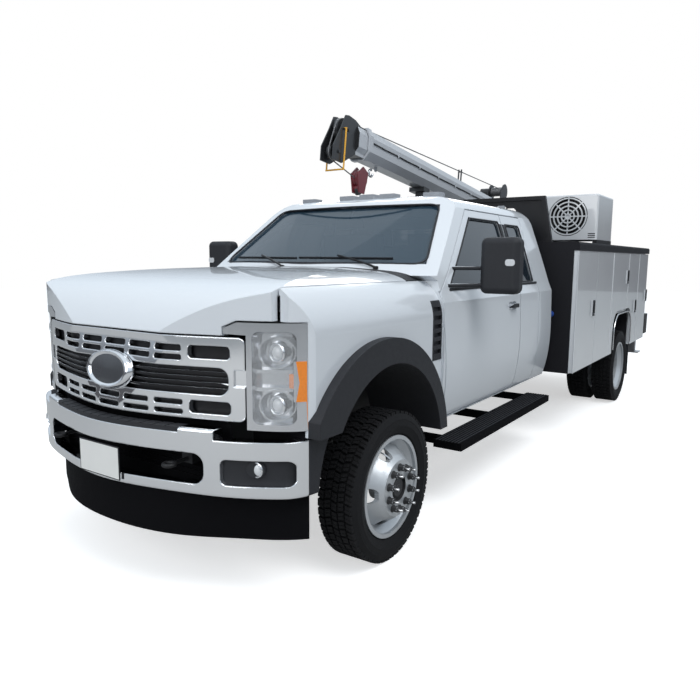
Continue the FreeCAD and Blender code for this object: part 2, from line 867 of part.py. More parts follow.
def leaf_pack(side):
    """Curved leaves, each shorter than the one above, clamped over the axle"""
    leaves = []
    top_z = axle_z + rear_tube_radius + leaf_thickness * leaf_count
    for index in range(leaf_count):
        half = leaf_half_span * (leaf_count - index + 1) / (leaf_count + 1)
        rise = leaf_arch * (half / leaf_half_span) ** 2
        low = top_z - leaf_thickness * (index + 1)
        ends = [vector(-wheelbase + way * half, 0, low + rise) for way in (-1, 1)]
        middle = vector(-wheelbase, 0, low)
        lower = Part.Arc(ends[0], middle, ends[1]).toShape()
        up = vector(0, 0, leaf_thickness)
        upper = Part.Arc(ends[1] + up, middle + up, ends[0] + up).toShape()
        wire = Part.Wire([lower, Part.makeLine(ends[1], ends[1] + up), upper,
                          Part.makeLine(ends[0] + up, ends[0])])
        leaf = Part.Face(wire).extrude(vector(0, leaf_width, 0))
        leaf.translate(vector(0, side * leaf_y - leaf_width / 2, 0))
        leaves.append(leaf)
    return leaves


def rear_axle():
    """Rear axle with differential, spindles, leaf packs and propshaft"""
    x = -wheelbase
    tube = rod("y", x, axle_z, rear_tube_radius, (-rear_axle_end_y, rear_axle_end_y))
    spindle_end = rear_hub_face_y + hub_reach * 2 - hub_wall - knuckle_gap
    spindle = rod("y", x, axle_z, spindle_radius, (-spindle_end, spindle_end))
    ball = Part.makeSphere(rear_diff_radius, vector(x, 0, axle_z))
    ball = ball.common(rod("y", x, axle_z, rear_diff_radius * 2, (-rear_diff_width / 2, rear_diff_width / 2)))
    shaft = bar(vector(x + rear_diff_radius / 2, 0, axle_z),
                vector(engine_front_x - engine_length - gearbox_length - shaft_yoke_length / 2, 0,
                       gearbox_bottom_z + gearbox_height / 2), shaft_radius)
    pads = [box((x - leaf_width, x + leaf_width), (side * (leaf_y - leaf_width / 2),
                                                   side * (leaf_y + leaf_width / 2)),
                (axle_z, axle_z + rear_tube_radius + leaf_thickness / 2)) for side in (1, -1)]
    packs = leaf_pack(1) + leaf_pack(-1)
    return fuse([tube, spindle, ball, shaft] + pads + packs)


def rail(side):
    """Channel rail, its open side facing the middle"""
    outer = box((frame_rear_x, frame_front_x), (side * (rail_y - rail_flange / 2),
                                                side * (rail_y + rail_flange / 2)),
                (frame_top_z - rail_depth, frame_top_z))
    inner_low = side * (rail_y - rail_flange / 2 - overrun)
    inner_high = side * (rail_y + rail_flange / 2 - rail_wall)
    hollow = box((frame_rear_x - overrun, frame_front_x + overrun), (inner_low, inner_high),
                 (frame_top_z - rail_depth + rail_wall, frame_top_z - rail_wall))
    return outer.cut(hollow)


def chassis_frame():
    """Two rails and the cross members between them, with the spring and arm brackets"""
    parts = [rail(1), rail(-1)]
    inner = rail_y + rail_flange / 2 - rail_wall
    for x in cross_member_x:
        tube = box((x - cross_member_width / 2, x + cross_member_width / 2), (-inner, inner),
                   (frame_top_z - rail_wall - cross_member_depth, frame_top_z - rail_wall))
        parts.append(tube)
    coil_top = axle_z + axle_tube_radius + coil_wire * 2 + fit_gap + coil_turns * coil_pitch - coil_wire * 2
    for side in (1, -1):
        parts.append(box((-bracket_half, bracket_half),
                         (side * rail_y, side * (coil_y + coil_radius + coil_wire)),
                         (coil_top + fit_gap, coil_top + coil_pitch)))
        for way in (1, -1):
            x = -wheelbase + way * leaf_half_span
            parts.append(box((x - leaf_width / 2, x + leaf_width / 2),
                             (side * rail_y, side * (leaf_y + leaf_width / 2)),
                             (axle_z + rear_tube_radius + leaf_thickness * leaf_count + leaf_arch + seat_gap,
                              frame_top_z - rail_depth + leaf_thickness * 2)))
        parts.append(box(support_x, (side * (rail_y - rail_flange / 2), side * (rail_y + rail_flange / 2)),
                         (frame_top_z - rail_wall, support_z[1])))
        stop = box(support_x, (side * (support_stop_y - support_stop_half),
                               side * (support_stop_y + support_stop_half)),
                   (support_z[1] - rail_wall, hood_top_z[0]))
        parts.append(stop.common(nose_outer(hood_skin + fit_gap)))
    parts.append(box(support_x, (-lamp_y[0] + fit_gap, lamp_y[0] - fit_gap), support_z))
    return fuse(parts)


def engine():
    """Engine as one plain block, with the gearbox behind it"""
    back = engine_front_x - engine_length
    block = box((back, engine_front_x), (-engine_half_width, engine_half_width),
                (engine_bottom_z, engine_bottom_z + engine_height))
    gearbox = box((back - gearbox_length, back), (-gearbox_half_width, gearbox_half_width),
                  (gearbox_bottom_z, gearbox_bottom_z + gearbox_height))
    flange_z = frame_top_z - rail_depth + rail_wall + fit_gap
    mounts = [box((-mount_half, mount_half), (side * (engine_half_width - overrun), side * rail_y),
                  (flange_z, flange_z + mount_height)) for side in (1, -1)]
    return fuse([block, gearbox] + mounts)


def fuel_tank():
    tank = box((tank_front_x - tank_length, tank_front_x), (-tank_half_width, tank_half_width),
               (tank_bottom_z, tank_bottom_z + tank_height))
    long_edges = [e for e in tank.Edges if abs(e.Vertexes[0].Y - e.Vertexes[1].Y) > tank_half_width]
    tank = tank.makeFillet(tank_round, long_edges)
    flange_z = frame_top_z - rail_depth + rail_wall + fit_gap
    middle = tank_front_x - tank_length / 2
    mounts = [box((middle - mount_half, middle + mount_half),
                  (side * (tank_half_width - overrun), side * rail_y),
                  (flange_z, flange_z + mount_height)) for side in (1, -1)]
    return fuse([tank] + mounts)


def exhaust():
    """Pipe, muffler and the tail pipe that leaves ahead of the right rear wheels"""
    start = vector(exhaust_front_x, exhaust_y, exhaust_z)
    turn = vector(tail_pipe_x + tail_pipe_bend, exhaust_y, exhaust_z)
    leave = vector(tail_pipe_x, exhaust_y - tail_pipe_bend, exhaust_z)
    lean = math.sqrt(0.5)
    middle = vector(tail_pipe_x + tail_pipe_bend - tail_pipe_bend * lean,
                    exhaust_y - tail_pipe_bend + tail_pipe_bend * lean, exhaust_z)
    end = vector(tail_pipe_x, tail_pipe_end_y, exhaust_z)
    path = Part.Wire([Part.makeLine(start, turn), Part.Arc(turn, middle, leave).toShape(),
                      Part.makeLine(leave, end)])
    ring = Part.Wire([Part.makeCircle(exhaust_radius, start, vector(-1, 0, 0))])
    pipe = path.makePipeShell([ring], True, False)
    muffler = rod("x", exhaust_y, exhaust_z, muffler_radius,
                  (muffler_front_x - muffler_length, muffler_front_x))
    hangers = [box((x - hanger_half, x + hanger_half), (exhaust_y, -rail_y - rail_flange / 2 - fit_gap),
                   (exhaust_z + exhaust_radius / 2, frame_top_z - rail_depth + mount_half)) for x in hanger_x]
    return fuse([pipe, muffler] + hangers)


def cab_side(inset=0.0):
    """Cab's side outline: cowl, screen slope, long roof and the leaning back"""
    half = cab_half_width + overrun
    stretches = [[(cab_back_x, cab_floor_z), (cab_front_x, cab_floor_z)],
                 [(cab_front_x, cab_floor_z), (cab_front_x, cowl_z - pillar_wall)],
                 [(cab_front_x, cowl_z - pillar_wall), (cowl_x, cowl_z)],
                 [(cowl_x, cowl_z), (header_x + roof_round, header_z - roof_round * header_slope_share)],
                 [(header_x + roof_round, header_z - roof_round * header_slope_share), (header_x, header_z),
                  (header_x - roof_round * 2, header_z + roof_round / 2), (roof_peak_x, cab_roof_z),
                  (roof_back_x, roof_back_z)],
                 [(roof_back_x, roof_back_z), (roof_back_x - roof_round, roof_back_z - roof_round / 4),
                  (back_slope_x, back_slope_z)],
                 [(back_slope_x, back_slope_z), (cab_back_x, belt_z)],
                 [(cab_back_x, belt_z), (cab_back_x, cab_floor_z)]]
    return curved_prism(stretches, "xz", (-half, half), inset)


@functools.lru_cache(maxsize=None)
def cab_section(inset=0.0):
    """Cab's front outline: sides that swell to the belt, leaning windows and a crowned roof"""
    def side(shares):
        return [(y * cab_half_width, cab_floor_z + z * cab_height) for y, z in shares]

    left = [side(shares) for shares in (side_shares, shoulder_shares, window_shares)]
    right = [[(-y, z) for y, z in reversed(stretch)] for stretch in reversed(left)]
    crown = side(crown_shares)
    crown = crown + [(0.0, cab_roof_z)] + [(-y, z) for y, z in reversed(crown)]
    stretches = left + [crown] + right + [[right[-1][-1], left[0][0]]]
    return curved_prism(stretches, "yz", (cab_back_x - overrun, 0), inset)


def screen_front(inset=0.0):
    """Everything ahead of the bowed windshield, for cutting the cab's front to its curve"""
    drop = inset * screen_lean_share
    wires = []
    for middle_x, side_x, side_y, z in ((screen_base_x, screen_base_side_x, screen_base_y, screen_base_z),
                                        (screen_top_x, screen_top_side_x, screen_top_y, screen_top_z)):
        half = cab_half_width + overrun * 2
        wing_x = middle_x - (middle_x - side_x) * (half / side_y) ** 2
        ahead = middle_x + wheelbase / 4
        arc = Part.Arc(vector(wing_x - drop, -half, z), vector(middle_x - drop, 0, z),
                       vector(wing_x - drop, half, z))
        ends = [vector(wing_x - drop, half, z), vector(ahead, half, z), vector(ahead, -half, z),
                vector(wing_x - drop, -half, z)]
        wires.append(Part.Wire([arc.toShape()] + [Part.makeLine(a, b) for a, b in zip(ends, ends[1:])]))
    return Part.makeLoft(wires, True, True)


@functools.lru_cache(maxsize=None)
def cab_outer(inset=0.0):
    """Whole cab as one body: its side outline crossed with its front outline, cut to the bowed windshield"""
    return cab_side(inset).common(cab_section(inset)).cut(screen_front(inset))


def cab_inner(lower, upper):
    """Room inside the cab, with thicker walls below the belt than above it"""
    split = box((cab_back_x - overrun, 0), (-cab_half_width, cab_half_width), (belt_z, cab_roof_z))
    low_part = cab_outer(lower).cut(split)
    high_part = cab_outer(upper).common(split)
    return low_part.fuse(high_part)


def side_inner(lower, upper):
    """Room between the cab's sides alone, for the depth of the doors"""
    split = box((cab_back_x - overrun, 0), (-cab_half_width, cab_half_width), (belt_z, cab_roof_z))
    return cab_section(lower).cut(split).fuse(cab_section(upper).common(split))


def front_door_outline(grow=0.0):
    return [(front_door_x + grow, door_nose_z), (front_door_x + grow, front_door_notch_z),
            (front_door_bottom_x + grow, door_bottom_z - grow),
            (front_door_back_x - grow, door_bottom_z - grow), (front_door_back_x - grow, door_top_z + grow),
            (door_pillar_top_x + grow, door_top_z + grow),
            (door_pillar_foot_x + grow, door_pillar_foot_z + grow)]


def rear_door_outline(grow=0.0):
    front = front_door_back_x - door_meeting_gap
    return [(front + grow, door_bottom_z - grow), (rear_door_back_x - grow, door_bottom_z - grow),
            (rear_door_back_x - grow, door_top_z + grow), (front + grow, door_top_z + grow)]


def window_prism(points, margin):
    """Window opening that follows a door's outline above the belt"""
    wide = prism(points, "xz", (0, door_reach_y), margin)
    band = box((cab_back_x, 0), (0, door_reach_y), (window_bottom_z, window_top_z))
    return wide.common(band)


def door_pair(points, margin):
    """Left door with a thin lip round a thicker box, and its window's glass"""
    reach = (door_inside_y * roof_share, door_reach_y)
    region = prism(points, "xz", reach)
    core = prism(points, "xz", reach, door_setback)
    outer = cab_outer()
    skin = outer.common(region).cut(cab_section(door_lip))
    skin = skin.cut(box((cab_back_x, 0), (0, door_inside_y), (cab_floor_z, belt_z)))
    body = outer.common(core).cut(side_inner(door_thickness, frame_thickness))
    body = body.cut(box((cab_back_x, 0), (0, door_inside_y), (cab_floor_z, belt_z)))
    opening = window_prism(points, margin)
    door = skin.fuse(body).cut(opening).removeSplitter()
    pane = cab_section(glass_depth).cut(cab_section(glass_depth + glass_thickness))
    glass = pane.common(window_prism(points, margin + fit_gap))
    return door, glass


def door_handle():
    """Pull handle standing over a shallow cup; returns the handle and the space that the cup takes"""
    y = (door_inside_y, cab_half_width + overrun * 2)
    x, z = handle_door_x, handle_door_z
    cup = box((x[0] - handle_cup_grow, x[1] + handle_cup_grow), y,
              (z[0] - handle_cup_grow, z[1] + handle_cup_grow))
    cup = cup.cut(cab_section(handle_cup_depth))
    grip = box(x, y, z).common(cab_section(handle_stand_off[0]).cut(cab_section(handle_stand_off[1])))
    feet = []
    for low in (x[0], x[1] - handle_end):
        foot = box((low, low + handle_end), y, z)
        layer = cab_section(handle_stand_off[0]).cut(cab_section(handle_cup_depth + overrun))
        feet.append(foot.common(layer))
    return [grip] + feet, cup


def mirror_arm_and_head():
    """Tow mirror on two arms, its glasses set in the rear face and a small lamp in the front one"""
    head = box(mirror_x, mirror_y, mirror_z)
    head = head.makeFillet(mirror_round, head.Edges)
    margin = mirror_glass_margin + mirror_round / 2
    glass_y = (mirror_y[0] + margin, mirror_y[1] - margin)
    for z in ((mirror_z[0] + margin, mirror_split_z - mirror_glass_margin / 2),
              (mirror_split_z + mirror_glass_margin / 2, mirror_z[1] - margin)):
        head = head.cut(slot_block(glass_y, z, mirror_glass_margin,
                                   (mirror_x[0] - overrun, mirror_x[0] + mirror_glass_depth)))
    lamp = slot_block(mirror_lamp_y, mirror_lamp_z, mirror_glass_margin,
                      (mirror_x[1] - mirror_round, mirror_x[1] + mirror_lamp_rise))
    head = head.fuse(lamp)
    arms = []
    for x, y, z in mirror_arm_roots:
        arms.append(bar(vector(x, y, z), vector((mirror_x[0] + mirror_x[1]) / 2, mirror_y[0] + mirror_round,
                                                z),
                        mirror_arm_radius))
    return [head] + arms


def door_openings():
    """Left door openings: wide under the doors' lips, narrower behind them where the seal lies"""
    reach = (door_inside_y * roof_share, door_reach_y)
    rim_space = prism(front_door_outline(), "xz", reach, -door_gap).fuse(
        prism(rear_door_outline(), "xz", reach, -door_gap))
    rim_space = rim_space.cut(cab_section(door_lip + seat_gap))
    jamb = door_setback - door_gap
    meeting = box((front_door_back_x - door_setback * 2, front_door_back_x + door_setback), reach,
                  (door_bottom_z + jamb, door_top_z - jamb))
    deep = prism(front_door_outline(), "xz", reach, jamb).fuse(prism(rear_door_outline(), "xz", reach, jamb))
    deep = deep.fuse(meeting).cut(box((cab_back_x, 0), (0, door_inside_y - door_gap), (cab_floor_z, belt_z)))
    return rim_space.fuse(deep)


def roof_lamps():
    """Five clearance lamps on the front of the roof"""
    lamps = []
    for y in sorted(set(roof_lamp_y) | set(-y for y in roof_lamp_y)):
        lamps.append(box((roof_lamp_x - roof_lamp_length, roof_lamp_x),
                         (y - roof_lamp_half_width, y + roof_lamp_half_width),
                         (header_z - cab_wall / 2, cab_roof_z + roof_lamp_height - abs(y) * lamp_fall_share)))
    inside = cab_outer(pillar_wall / 2)
    return [lamp.cut(inside) for lamp in lamps]


def cab_shell():
    """Hollow cab with its door openings, windshield and back window cut"""
    pan_top = frame_top_z + fit_gap + floor_pan
    room = cab_inner(cab_wall, pillar_wall).common(
        box((cab_back_x, 0), (-cab_half_width, cab_half_width), (pan_top, cab_roof_z)))
    under = box((cab_back_x - overrun, 0), (-rocker_inner_y, rocker_inner_y),
                (cab_floor_z - overrun, pan_top - floor_pan))
    shell = cab_outer().cut(room).cut(under)
    openings = door_openings()
    shell = shell.cut(openings).cut(mirrored(openings))
    shell = shell.cut(windshield_prism(0.0)).cut(back_window_prism(0.0))
    return fuse([shell] + roof_lamps())


def windshield_prism(inset):
    """Windshield opening, narrower at the top, cut along the truck"""
    bottom = cowl_z + windshield_margin / 2
    top = header_z - windshield_margin / 2
    points = [(windshield_side_base, bottom), (windshield_side_top, top),
              (-windshield_side_top, top), (-windshield_side_base, bottom)]
    return prism(points, "yz", (header_x - cab_wall * 2, 0), inset)


def back_window_prism(inset):
    points = [(rear_glass_half_width, rear_glass_bottom_z), (rear_glass_half_width, rear_glass_top_z),
              (-rear_glass_half_width, rear_glass_top_z), (-rear_glass_half_width, rear_glass_bottom_z)]
    return prism(points, "yz", (cab_back_x - overrun, roof_back_x), inset)


def cab_glass():
    layer = cab_outer(glass_depth).cut(cab_outer(glass_depth + glass_thickness))
    return [layer.common(windshield_prism(fit_gap)), layer.common(back_window_prism(fit_gap))]


def seat(y, x, z, back_top, half_width):
    cushion = box(x, (y - half_width, y + half_width), z)
    back = box((x[0], x[0] + seat_back_thickness), (y - half_width, y + half_width), (z[0], back_top))
    return fuse([cushion, back])


def cab_interior():
    """Seats, rear bench, dashboard and steering wheel"""
    floor = frame_top_z + floor_pan + fit_gap * 2
    dash = box(dash_x, (-dash_half_width, dash_half_width), dash_z)
    dash_leg = box((dash_x[1] - seat_back_thickness, dash_x[1]), (-seat_half_width, seat_half_width),
                   (floor, dash_z[0]))
    tilt = math.radians(steering_tilt)
    axis = vector(-math.cos(tilt), 0, math.sin(tilt))
    centre = vector(steering_x, steering_y, steering_z)
    wheel = Part.makeTorus(steering_radius, steering_rim, centre, axis)
    hub = Part.makeCylinder(steering_radius / 3, steering_rim * 2, centre - axis * steering_rim, axis)
    column = bar(centre, centre - axis * column_length, steering_rim * 2)
    spokes = []
    for turn in (0, 120, 240):
        spoke = bar(centre, centre + vector(0, 1, 0) * steering_radius, steering_spoke)
        spoke.rotate(centre, axis, turn)
        spokes.append(spoke)
    control = fuse([dash, dash_leg, wheel, hub, column] + spokes)
    seats = []
    for side in (1, -1):
        base = box(seat_x, (side * (seat_y - seat_half_width / 2), side * (seat_y + seat_half_width / 2)),
                   (floor, seat_z[0]))
        seats.append(fuse([seat(side * seat_y, seat_x, seat_z, seat_back_top_z, seat_half_width), base]))
    bench = seat(0, bench_x, seat_z, bench_back_top_z, bench_half_width)
    bench_base = box(bench_x, (-bench_half_width / 2, bench_half_width / 2), (floor, seat_z[0]))
    return [control] + seats + [fuse([bench, bench_base])]


def mirror_stretch(points):
    """A stretch that ends on the middle line, carried on to its mirror image"""
    return points + [(a, -b) for a, b in reversed(points) if b > 0]


@functools.lru_cache(maxsize=None)
def nose_outer(inset=0.0):
    """Whole front end as one body: side outline, front outline and plan crossed"""
    wide = nose_half_width + overrun
    top = list(zip(hood_top_x, hood_top_z))
    side = [[(nose_back_x, nose_bottom_z), (nose_back_x, hood_top_z[0])],
            [(nose_back_x, hood_top_z[0]), top[0]], top,
            [top[-1], (nose_front_top_x, nose_front_top_z)],
            [(nose_front_top_x, nose_front_top_z), (nose_plan_x[-1], nose_front_low_z)],
            [(nose_plan_x[-1], nose_front_low_z), (nose_plan_x[-1], nose_bottom_z)],
            [(nose_plan_x[-1], nose_bottom_z), (nose_back_x, nose_bottom_z)]]
    crown = list(zip(nose_section_y, nose_section_z))
    crown = crown + [(-y, z) for y, z in reversed(crown) if y > 0]
    foot = [(nose_half_width, nose_bottom_z), (-nose_half_width, nose_bottom_z)]
    section = [[foot[0], crown[0]], crown, [crown[-1], foot[1]], [foot[1], foot[0]]]
    corner = list(zip(nose_plan_x, nose_plan_y))
    back = [(nose_back_x, nose_half_width), (nose_back_x, -nose_half_width)]
    front = mirror_stretch(corner)
    plan = [[back[0], front[0]], front, [front[-1], back[1]], [back[1], back[0]]]
    body = curved_prism(side, "xz", (-wide, wide), inset)
    body = body.common(curved_prism(section, "yz", (nose_back_x - overrun, front_end_x), inset))
    return body.common(curved_prism(plan, "xy", (nose_bottom_z - overrun, hood_top_z[0] + overrun), inset))


def hood():
    """Hood skin over the engine, hinged at its back edge"""
    region = box((hood_back_x, front_end_x), (-hood_half_width, hood_half_width),
                 (hood_bottom_z, hood_top_z[0] + overrun))
    lamp_space = lamp_outline(hood_gap).common(
        box((lamp_x[0] - hood_gap, front_end_x), (0, nose_half_width + overrun), (0, lamp_z[1] + hood_gap)))
    skin = nose_layer(0, hood_skin).common(region)
    return skin.cut(lamp_space).cut(mirrored(lamp_space))


def fender():
    """Left fender skin round the wheel arch"""
    region = box((nose_back_x, lamp_x[1]), (hood_half_width + hood_gap, nose_half_width + overrun),
                 (nose_bottom_z, hood_top_z[0] + overrun))
    skin = nose_layer(0, nose_skin).common(region)
    arch = rod("y", arch_x, arch_z, arch_radius + nose_skin, (0, nose_half_width + overrun))
    lamp_space = box((lamp_x[0] - seat_gap, front_end_x), (0, nose_half_width + overrun),
                     (nose_bottom_z, lamp_z[1] + hood_gap / 2))
    vent_room = box((vent_x[0] - fit_gap, vent_x[1] + fit_gap),
                    (vent_inner_y - fit_gap, nose_half_width + overrun),
                    (vent_z[0] - fit_gap, vent_z[1] + fit_gap))
    skin = skin.cut(vent_room)
    bumper_space = box((arch_x, front_end_x), (0, nose_half_width + overrun),
                       (nose_bottom_z - overrun, bumper_z[1] + hood_gap))
    return skin.cut(arch).cut(lamp_space).cut(bumper_space)


def cowl():
    """Panel between the hood's back edge and the windshield"""
    region = box((nose_back_x + overrun / 2, hood_back_x - hood_gap), (-hood_half_width, hood_half_width),
                 (hood_bottom_z, hood_top_z[0] + overrun))
    return nose_layer(0, hood_skin).common(region).cut(cab_outer())


def flare():
    """Left arch flare with the liner behind it"""
    outer = rod("y", arch_x + flare_outer_shift, arch_z, flare_outer_radius, flare_y)
    ring = outer.cut(rod("y", arch_x, arch_z, arch_radius, (0, flare_y[1] + overrun)))
    ring = ring.cut(nose_outer()).common(box((-flare_outer_radius, lamp_x[0]),
                                             (nose_half_width - overrun, flare_y[1]),
                                             (flare_bottom_z, frame_top_z * 2)))
    liner = rod("y", arch_x, arch_z, arch_radius + liner_wall, (liner_y, nose_half_width + overrun))
    liner = liner.cut(rod("y", arch_x, arch_z, arch_radius, (0, nose_half_width + overrun * 2)))
    liner = liner.common(box((-flare_outer_radius, flare_outer_radius), (liner_y, nose_half_width + overrun),
                             (flare_bottom_z, frame_top_z * 2)))
    bumper_space = box((arch_x, front_end_x), (0, flare_y[1] + overrun), (0, bumper_z[1] + hood_gap))
    return fuse([ring.cut(bumper_space), liner.cut(bumper_space)])


def mud_flap():
    return box((flap_x, flap_x + flap_thickness), flap_y, (flap_bottom_z, body_bottom_z - fit_gap))


def slot_block(y, z, corner, x=(0.0, front_overhang + overrun)):
    """Block for cutting or filling a slot with rounded ends, along the truck"""
    block = box(x, y, z)
    return block.makeFillet(corner,
                            [e for e in block.Edges if abs(e.Vertexes[0].X - e.Vertexes[1].X) > corner])


def plan_block(xs, ys, limits, inset=0.0):
    """Block whose front follows a smooth plan outline"""
    front = mirror_stretch(list(zip(xs, ys)))
    back = [(0.0, ys[0]), (0.0, -ys[0])]
    stretches = [[back[0], front[0]], front, [front[-1], back[1]], [back[1], back[0]]]
    return curved_prism(stretches, "xy", limits, inset)


def plan_band(xs, ys, wall, limits, corner=0.0):
    """Bent wall that follows a smooth plan outline, its long edges rounded"""
    outer = plan_block(xs, ys, limits)
    if corner:
        rims = [e for e in outer.Edges if e.BoundBox.XMax > xs[-1] - wall and e.BoundBox.ZLength < corner]
        outer = outer.makeFillet(corner, rims)
    inner = plan_block(xs, ys, (min(limits) - overrun, max(limits) + overrun), wall)
    return outer.cut(inner).common(box((xs[0], front_overhang + overrun),
                                       (-ys[0] - overrun, ys[0] + overrun), limits))


def bumper_band():
    """Bumper's bent wall from end to end with its raised middle, before its openings"""
    wide = nose_half_width + overrun
    band = plan_band(bumper_plan_x, bumper_plan_y, bumper_wall, (bumper_z[0], bumper_centre_top_z),
                     bumper_round)
    for side in (1, -1):
        band = band.cut(box((0, front_end_x + overrun), (side * bumper_centre_half, side * wide),
                            (bumper_z[1], bumper_centre_top_z + overrun)))
    return band.cut(rod("y", arch_x, arch_z, arch_radius + liner_wall + hood_gap, (-wide, wide)))


def tow_hook(side):
    """Bar from the frame's end with a ring at its front"""
    y = side * rail_y
    ring = Part.makeTorus(tow_hook_radius, tow_hook_wire, vector(tow_hook_x, y, tow_hook_z), vector(0, 0, 1))
    shank = rod("x", y, tow_hook_z, tow_hook_wire, (frame_front_x + seat_gap, tow_hook_x - tow_hook_radius))
    return [ring, shank]


def front_bumper():
    """Bright bumper: raised middle, air opening, fog lamp openings, plate and tow hooks"""
    band = bumper_band()
    for side in (1, -1):
        band = band.cut(slot_block((side * fog_y[0], side * fog_y[1]), fog_z, fog_round))
    band = band.cut(slot_block((-bumper_opening_half, bumper_opening_half), bumper_opening_z,
                               bumper_opening_round))
    band = band.cut(box((0, bumper_end_x), (-nose_half_width - overrun, nose_half_width + overrun),
                        (bumper_z[0] - overrun, bumper_centre_top_z)))
    band = band.cut(box((0, front_end_x + overrun), (-step_pad_half, step_pad_half),
                        (bumper_centre_top_z - step_pad_depth, bumper_centre_top_z + overrun)))
    brackets = []
    for side in (1, -1):
        brackets.append(box((frame_front_x + seat_gap, bumper_plan_x[-2] - bumper_wall / 2),
                            (side * (rail_y - rail_flange / 2), side * (rail_y + rail_flange / 2)),
                            (frame_top_z - rail_depth / 2, bumper_z[1] - rail_wall)))
        hanger = box((frame_front_x + seat_gap, frame_front_x + bracket_half),
                     (side * (rail_y - rail_flange / 2), side * (rail_y + rail_flange / 2)),
                     (tow_hook_z - tow_hook_wire * 2, bumper_z[1] - rail_wall))
        brackets += [hanger] + tow_hook(side)
    plate = box((bumper_plan_x[-1] - bumper_wall / 2, front_end_x), (-plate_half, plate_half), plate_z)
    plate = plate.cut(box((0, front_end_x - plate_thickness), (-plate_half, plate_half),
                          (bumper_opening_z[0], bumper_opening_z[1])))
    return fuse([band, plate] + brackets)


@functools.lru_cache(maxsize=None)
def nose_layer(depth_near, depth_far):
    """Skin of the nose between two depths under its surface"""
    return nose_outer(depth_near).cut(nose_outer(depth_far))


def grille():
    """Bright grille: slotted bands, barred middle with a bare oval boss, and the dark wall behind"""
    outline_block = slot_block((-grille_half_width, grille_half_width), grille_z, grille_round)
    inner_block = slot_block((-grille_half_width + grille_rim, grille_half_width - grille_rim),
                             (grille_z[0] + grille_rim, grille_z[1] - grille_rim),
                             grille_round - grille_rim / 2)
    case = nose_layer(0, grille_back).common(outline_block)
    room = nose_layer(grille_skin, grille_back - grille_backing).common(inner_block)
    case = case.cut(room)
    front_only = nose_layer(-overrun, grille_back - grille_backing)
    cuts = [slot_block((-middle_half, middle_half), middle_z, middle_round)]
    for y in sorted(set(slot_y) | set(-y for y in slot_y)):
        cuts += [slot_block((y - slot_half, y + slot_half), row, slot_round) for row in slot_rows]
    for side in (1, -1):
        cuts += [slot_block((side * end_slot_y[0], side * end_slot_y[1]), row,
                            slot_round * 2) for row in end_slot_rows]
    case = case.cut(Part.makeCompound(cuts).common(front_only))
    for side in (1, -1):
        strip = box((0, front_end_x), (side * end_strip_y[0], side * end_strip_y[1]), end_strip_z)
        case = case.cut(strip.common(nose_layer(-overrun, end_strip_depth)))
    bars = []
    layer = nose_layer(*bar_depth)
    pitch = (middle_z[1] - middle_z[0]) / (bar_count + 1)
    for index in range(bar_count):
        z = middle_z[0] + pitch * (index + 1)
        bars.append(layer.common(box((0, front_end_x), (-middle_half - grille_rim, middle_half + grille_rim),
                                     (z - bar_height / 2, z + bar_height / 2))))
    oval = Part.Face(Part.Wire([Part.Ellipse(vector(0, 0, 0), emblem_half[0], emblem_half[1]).toShape()]))
    oval = oval.extrude(vector(0, 0, front_end_x))
    oval.rotate(vector(0, 0, 0), vector(0, 0, 1), 90)
    oval.rotate(vector(0, 0, 0), vector(0, 1, 0), 90)
    oval.translate(vector(0, 0, emblem_z))
    boss = oval.common(nose_layer(*emblem_depth))
    stays = [box((support_x[1] + fit_gap, front_end_x),
                 (side * (rail_y - grille_stay_half), side * (rail_y + grille_stay_half)),
                 (support_z[0] + rail_wall,
                  support_z[1] - rail_wall)).common(nose_outer(grille_back - grille_backing / 2))
             for side in (1, -1)]
    return fuse([case, boss] + bars + stays)


def lamp_outline(grow=0.0):
    """Front outline of the left headlamp, with the arms that reach over and under the grille"""
    inner = lamp_y[0]
    arm = lamp_arm_y
    points = [(inner, lamp_z[1] - lamp_arm_height - lamp_arm_slope / 2),
              (arm, lamp_z[1] - lamp_arm_height * 2),
              (arm, lamp_z[1] - lamp_arm_height), (arm + lamp_arm_slope, lamp_z[1]),
              (nose_half_width + overrun, lamp_z[1]), (nose_half_width + overrun, lamp_z[0]),
              (inner, lamp_z[0])]
    return prism(points, "yz", (0, front_end_x), -grow)


def headlamp():
    """Left headlamp: bezel wrapped round the corner, two reflectors in its pocket and a side marker"""
    region = box((lamp_x[0], front_end_x), (0, nose_half_width + overrun), (lamp_z[0], lamp_z[1]))
    block = nose_outer().common(lamp_outline()).common(region)
    block = block.cut(box((lamp_x[0], lamp_x[0] + bumper_wall), (0, lamp_y[0]), lamp_z))
    room = slot_block(lens_y, lens_z, lens_round)
    block = block.cut(room.cut(nose_outer(lamp_pocket)))
    inside = [box((lamp_x[0], front_end_x), lens_y,
                  (z - lamp_bar_half, z + lamp_bar_half)) for z in lamp_bar_z]
    bars = [piece.common(nose_layer(lens_depth[1] * 4, lamp_pocket + seat_gap)) for piece in inside]
    cups = []
    for z in reflector_z:
        cup = rod("x", reflector_y, z, reflector_radius, (lamp_x[0], front_end_x))
        cup = cup.cut(rod("x", reflector_y, z, reflector_radius - reflector_wall,
                          (lamp_x[0] - overrun, front_end_x)))
        cups.append(cup.common(nose_layer(lens_depth[1] * 3, lamp_pocket + seat_gap)).common(room))
        middle = rod("x", reflector_y, z, bulb_radius, (lamp_x[0], front_end_x))
        cups.append(middle.common(nose_layer(lens_depth[1] * 5, lamp_pocket + seat_gap)))
    marker = box(side_marker_x, (lamp_y[0], nose_half_width + overrun), side_marker_z)
    marker = marker.common(nose_layer(-side_marker_rise, side_marker_rise * 2))
    return fuse([block, marker] + bars + cups)


def headlamp_lens():
    """Clear cover of the left headlamp, seated in its bezel"""
    room = slot_block((lens_y[0] + fit_gap, lens_y[1] - fit_gap), (lens_z[0] + fit_gap, lens_z[1] - fit_gap),
                      lens_round)
    return room.common(nose_layer(*lens_depth))


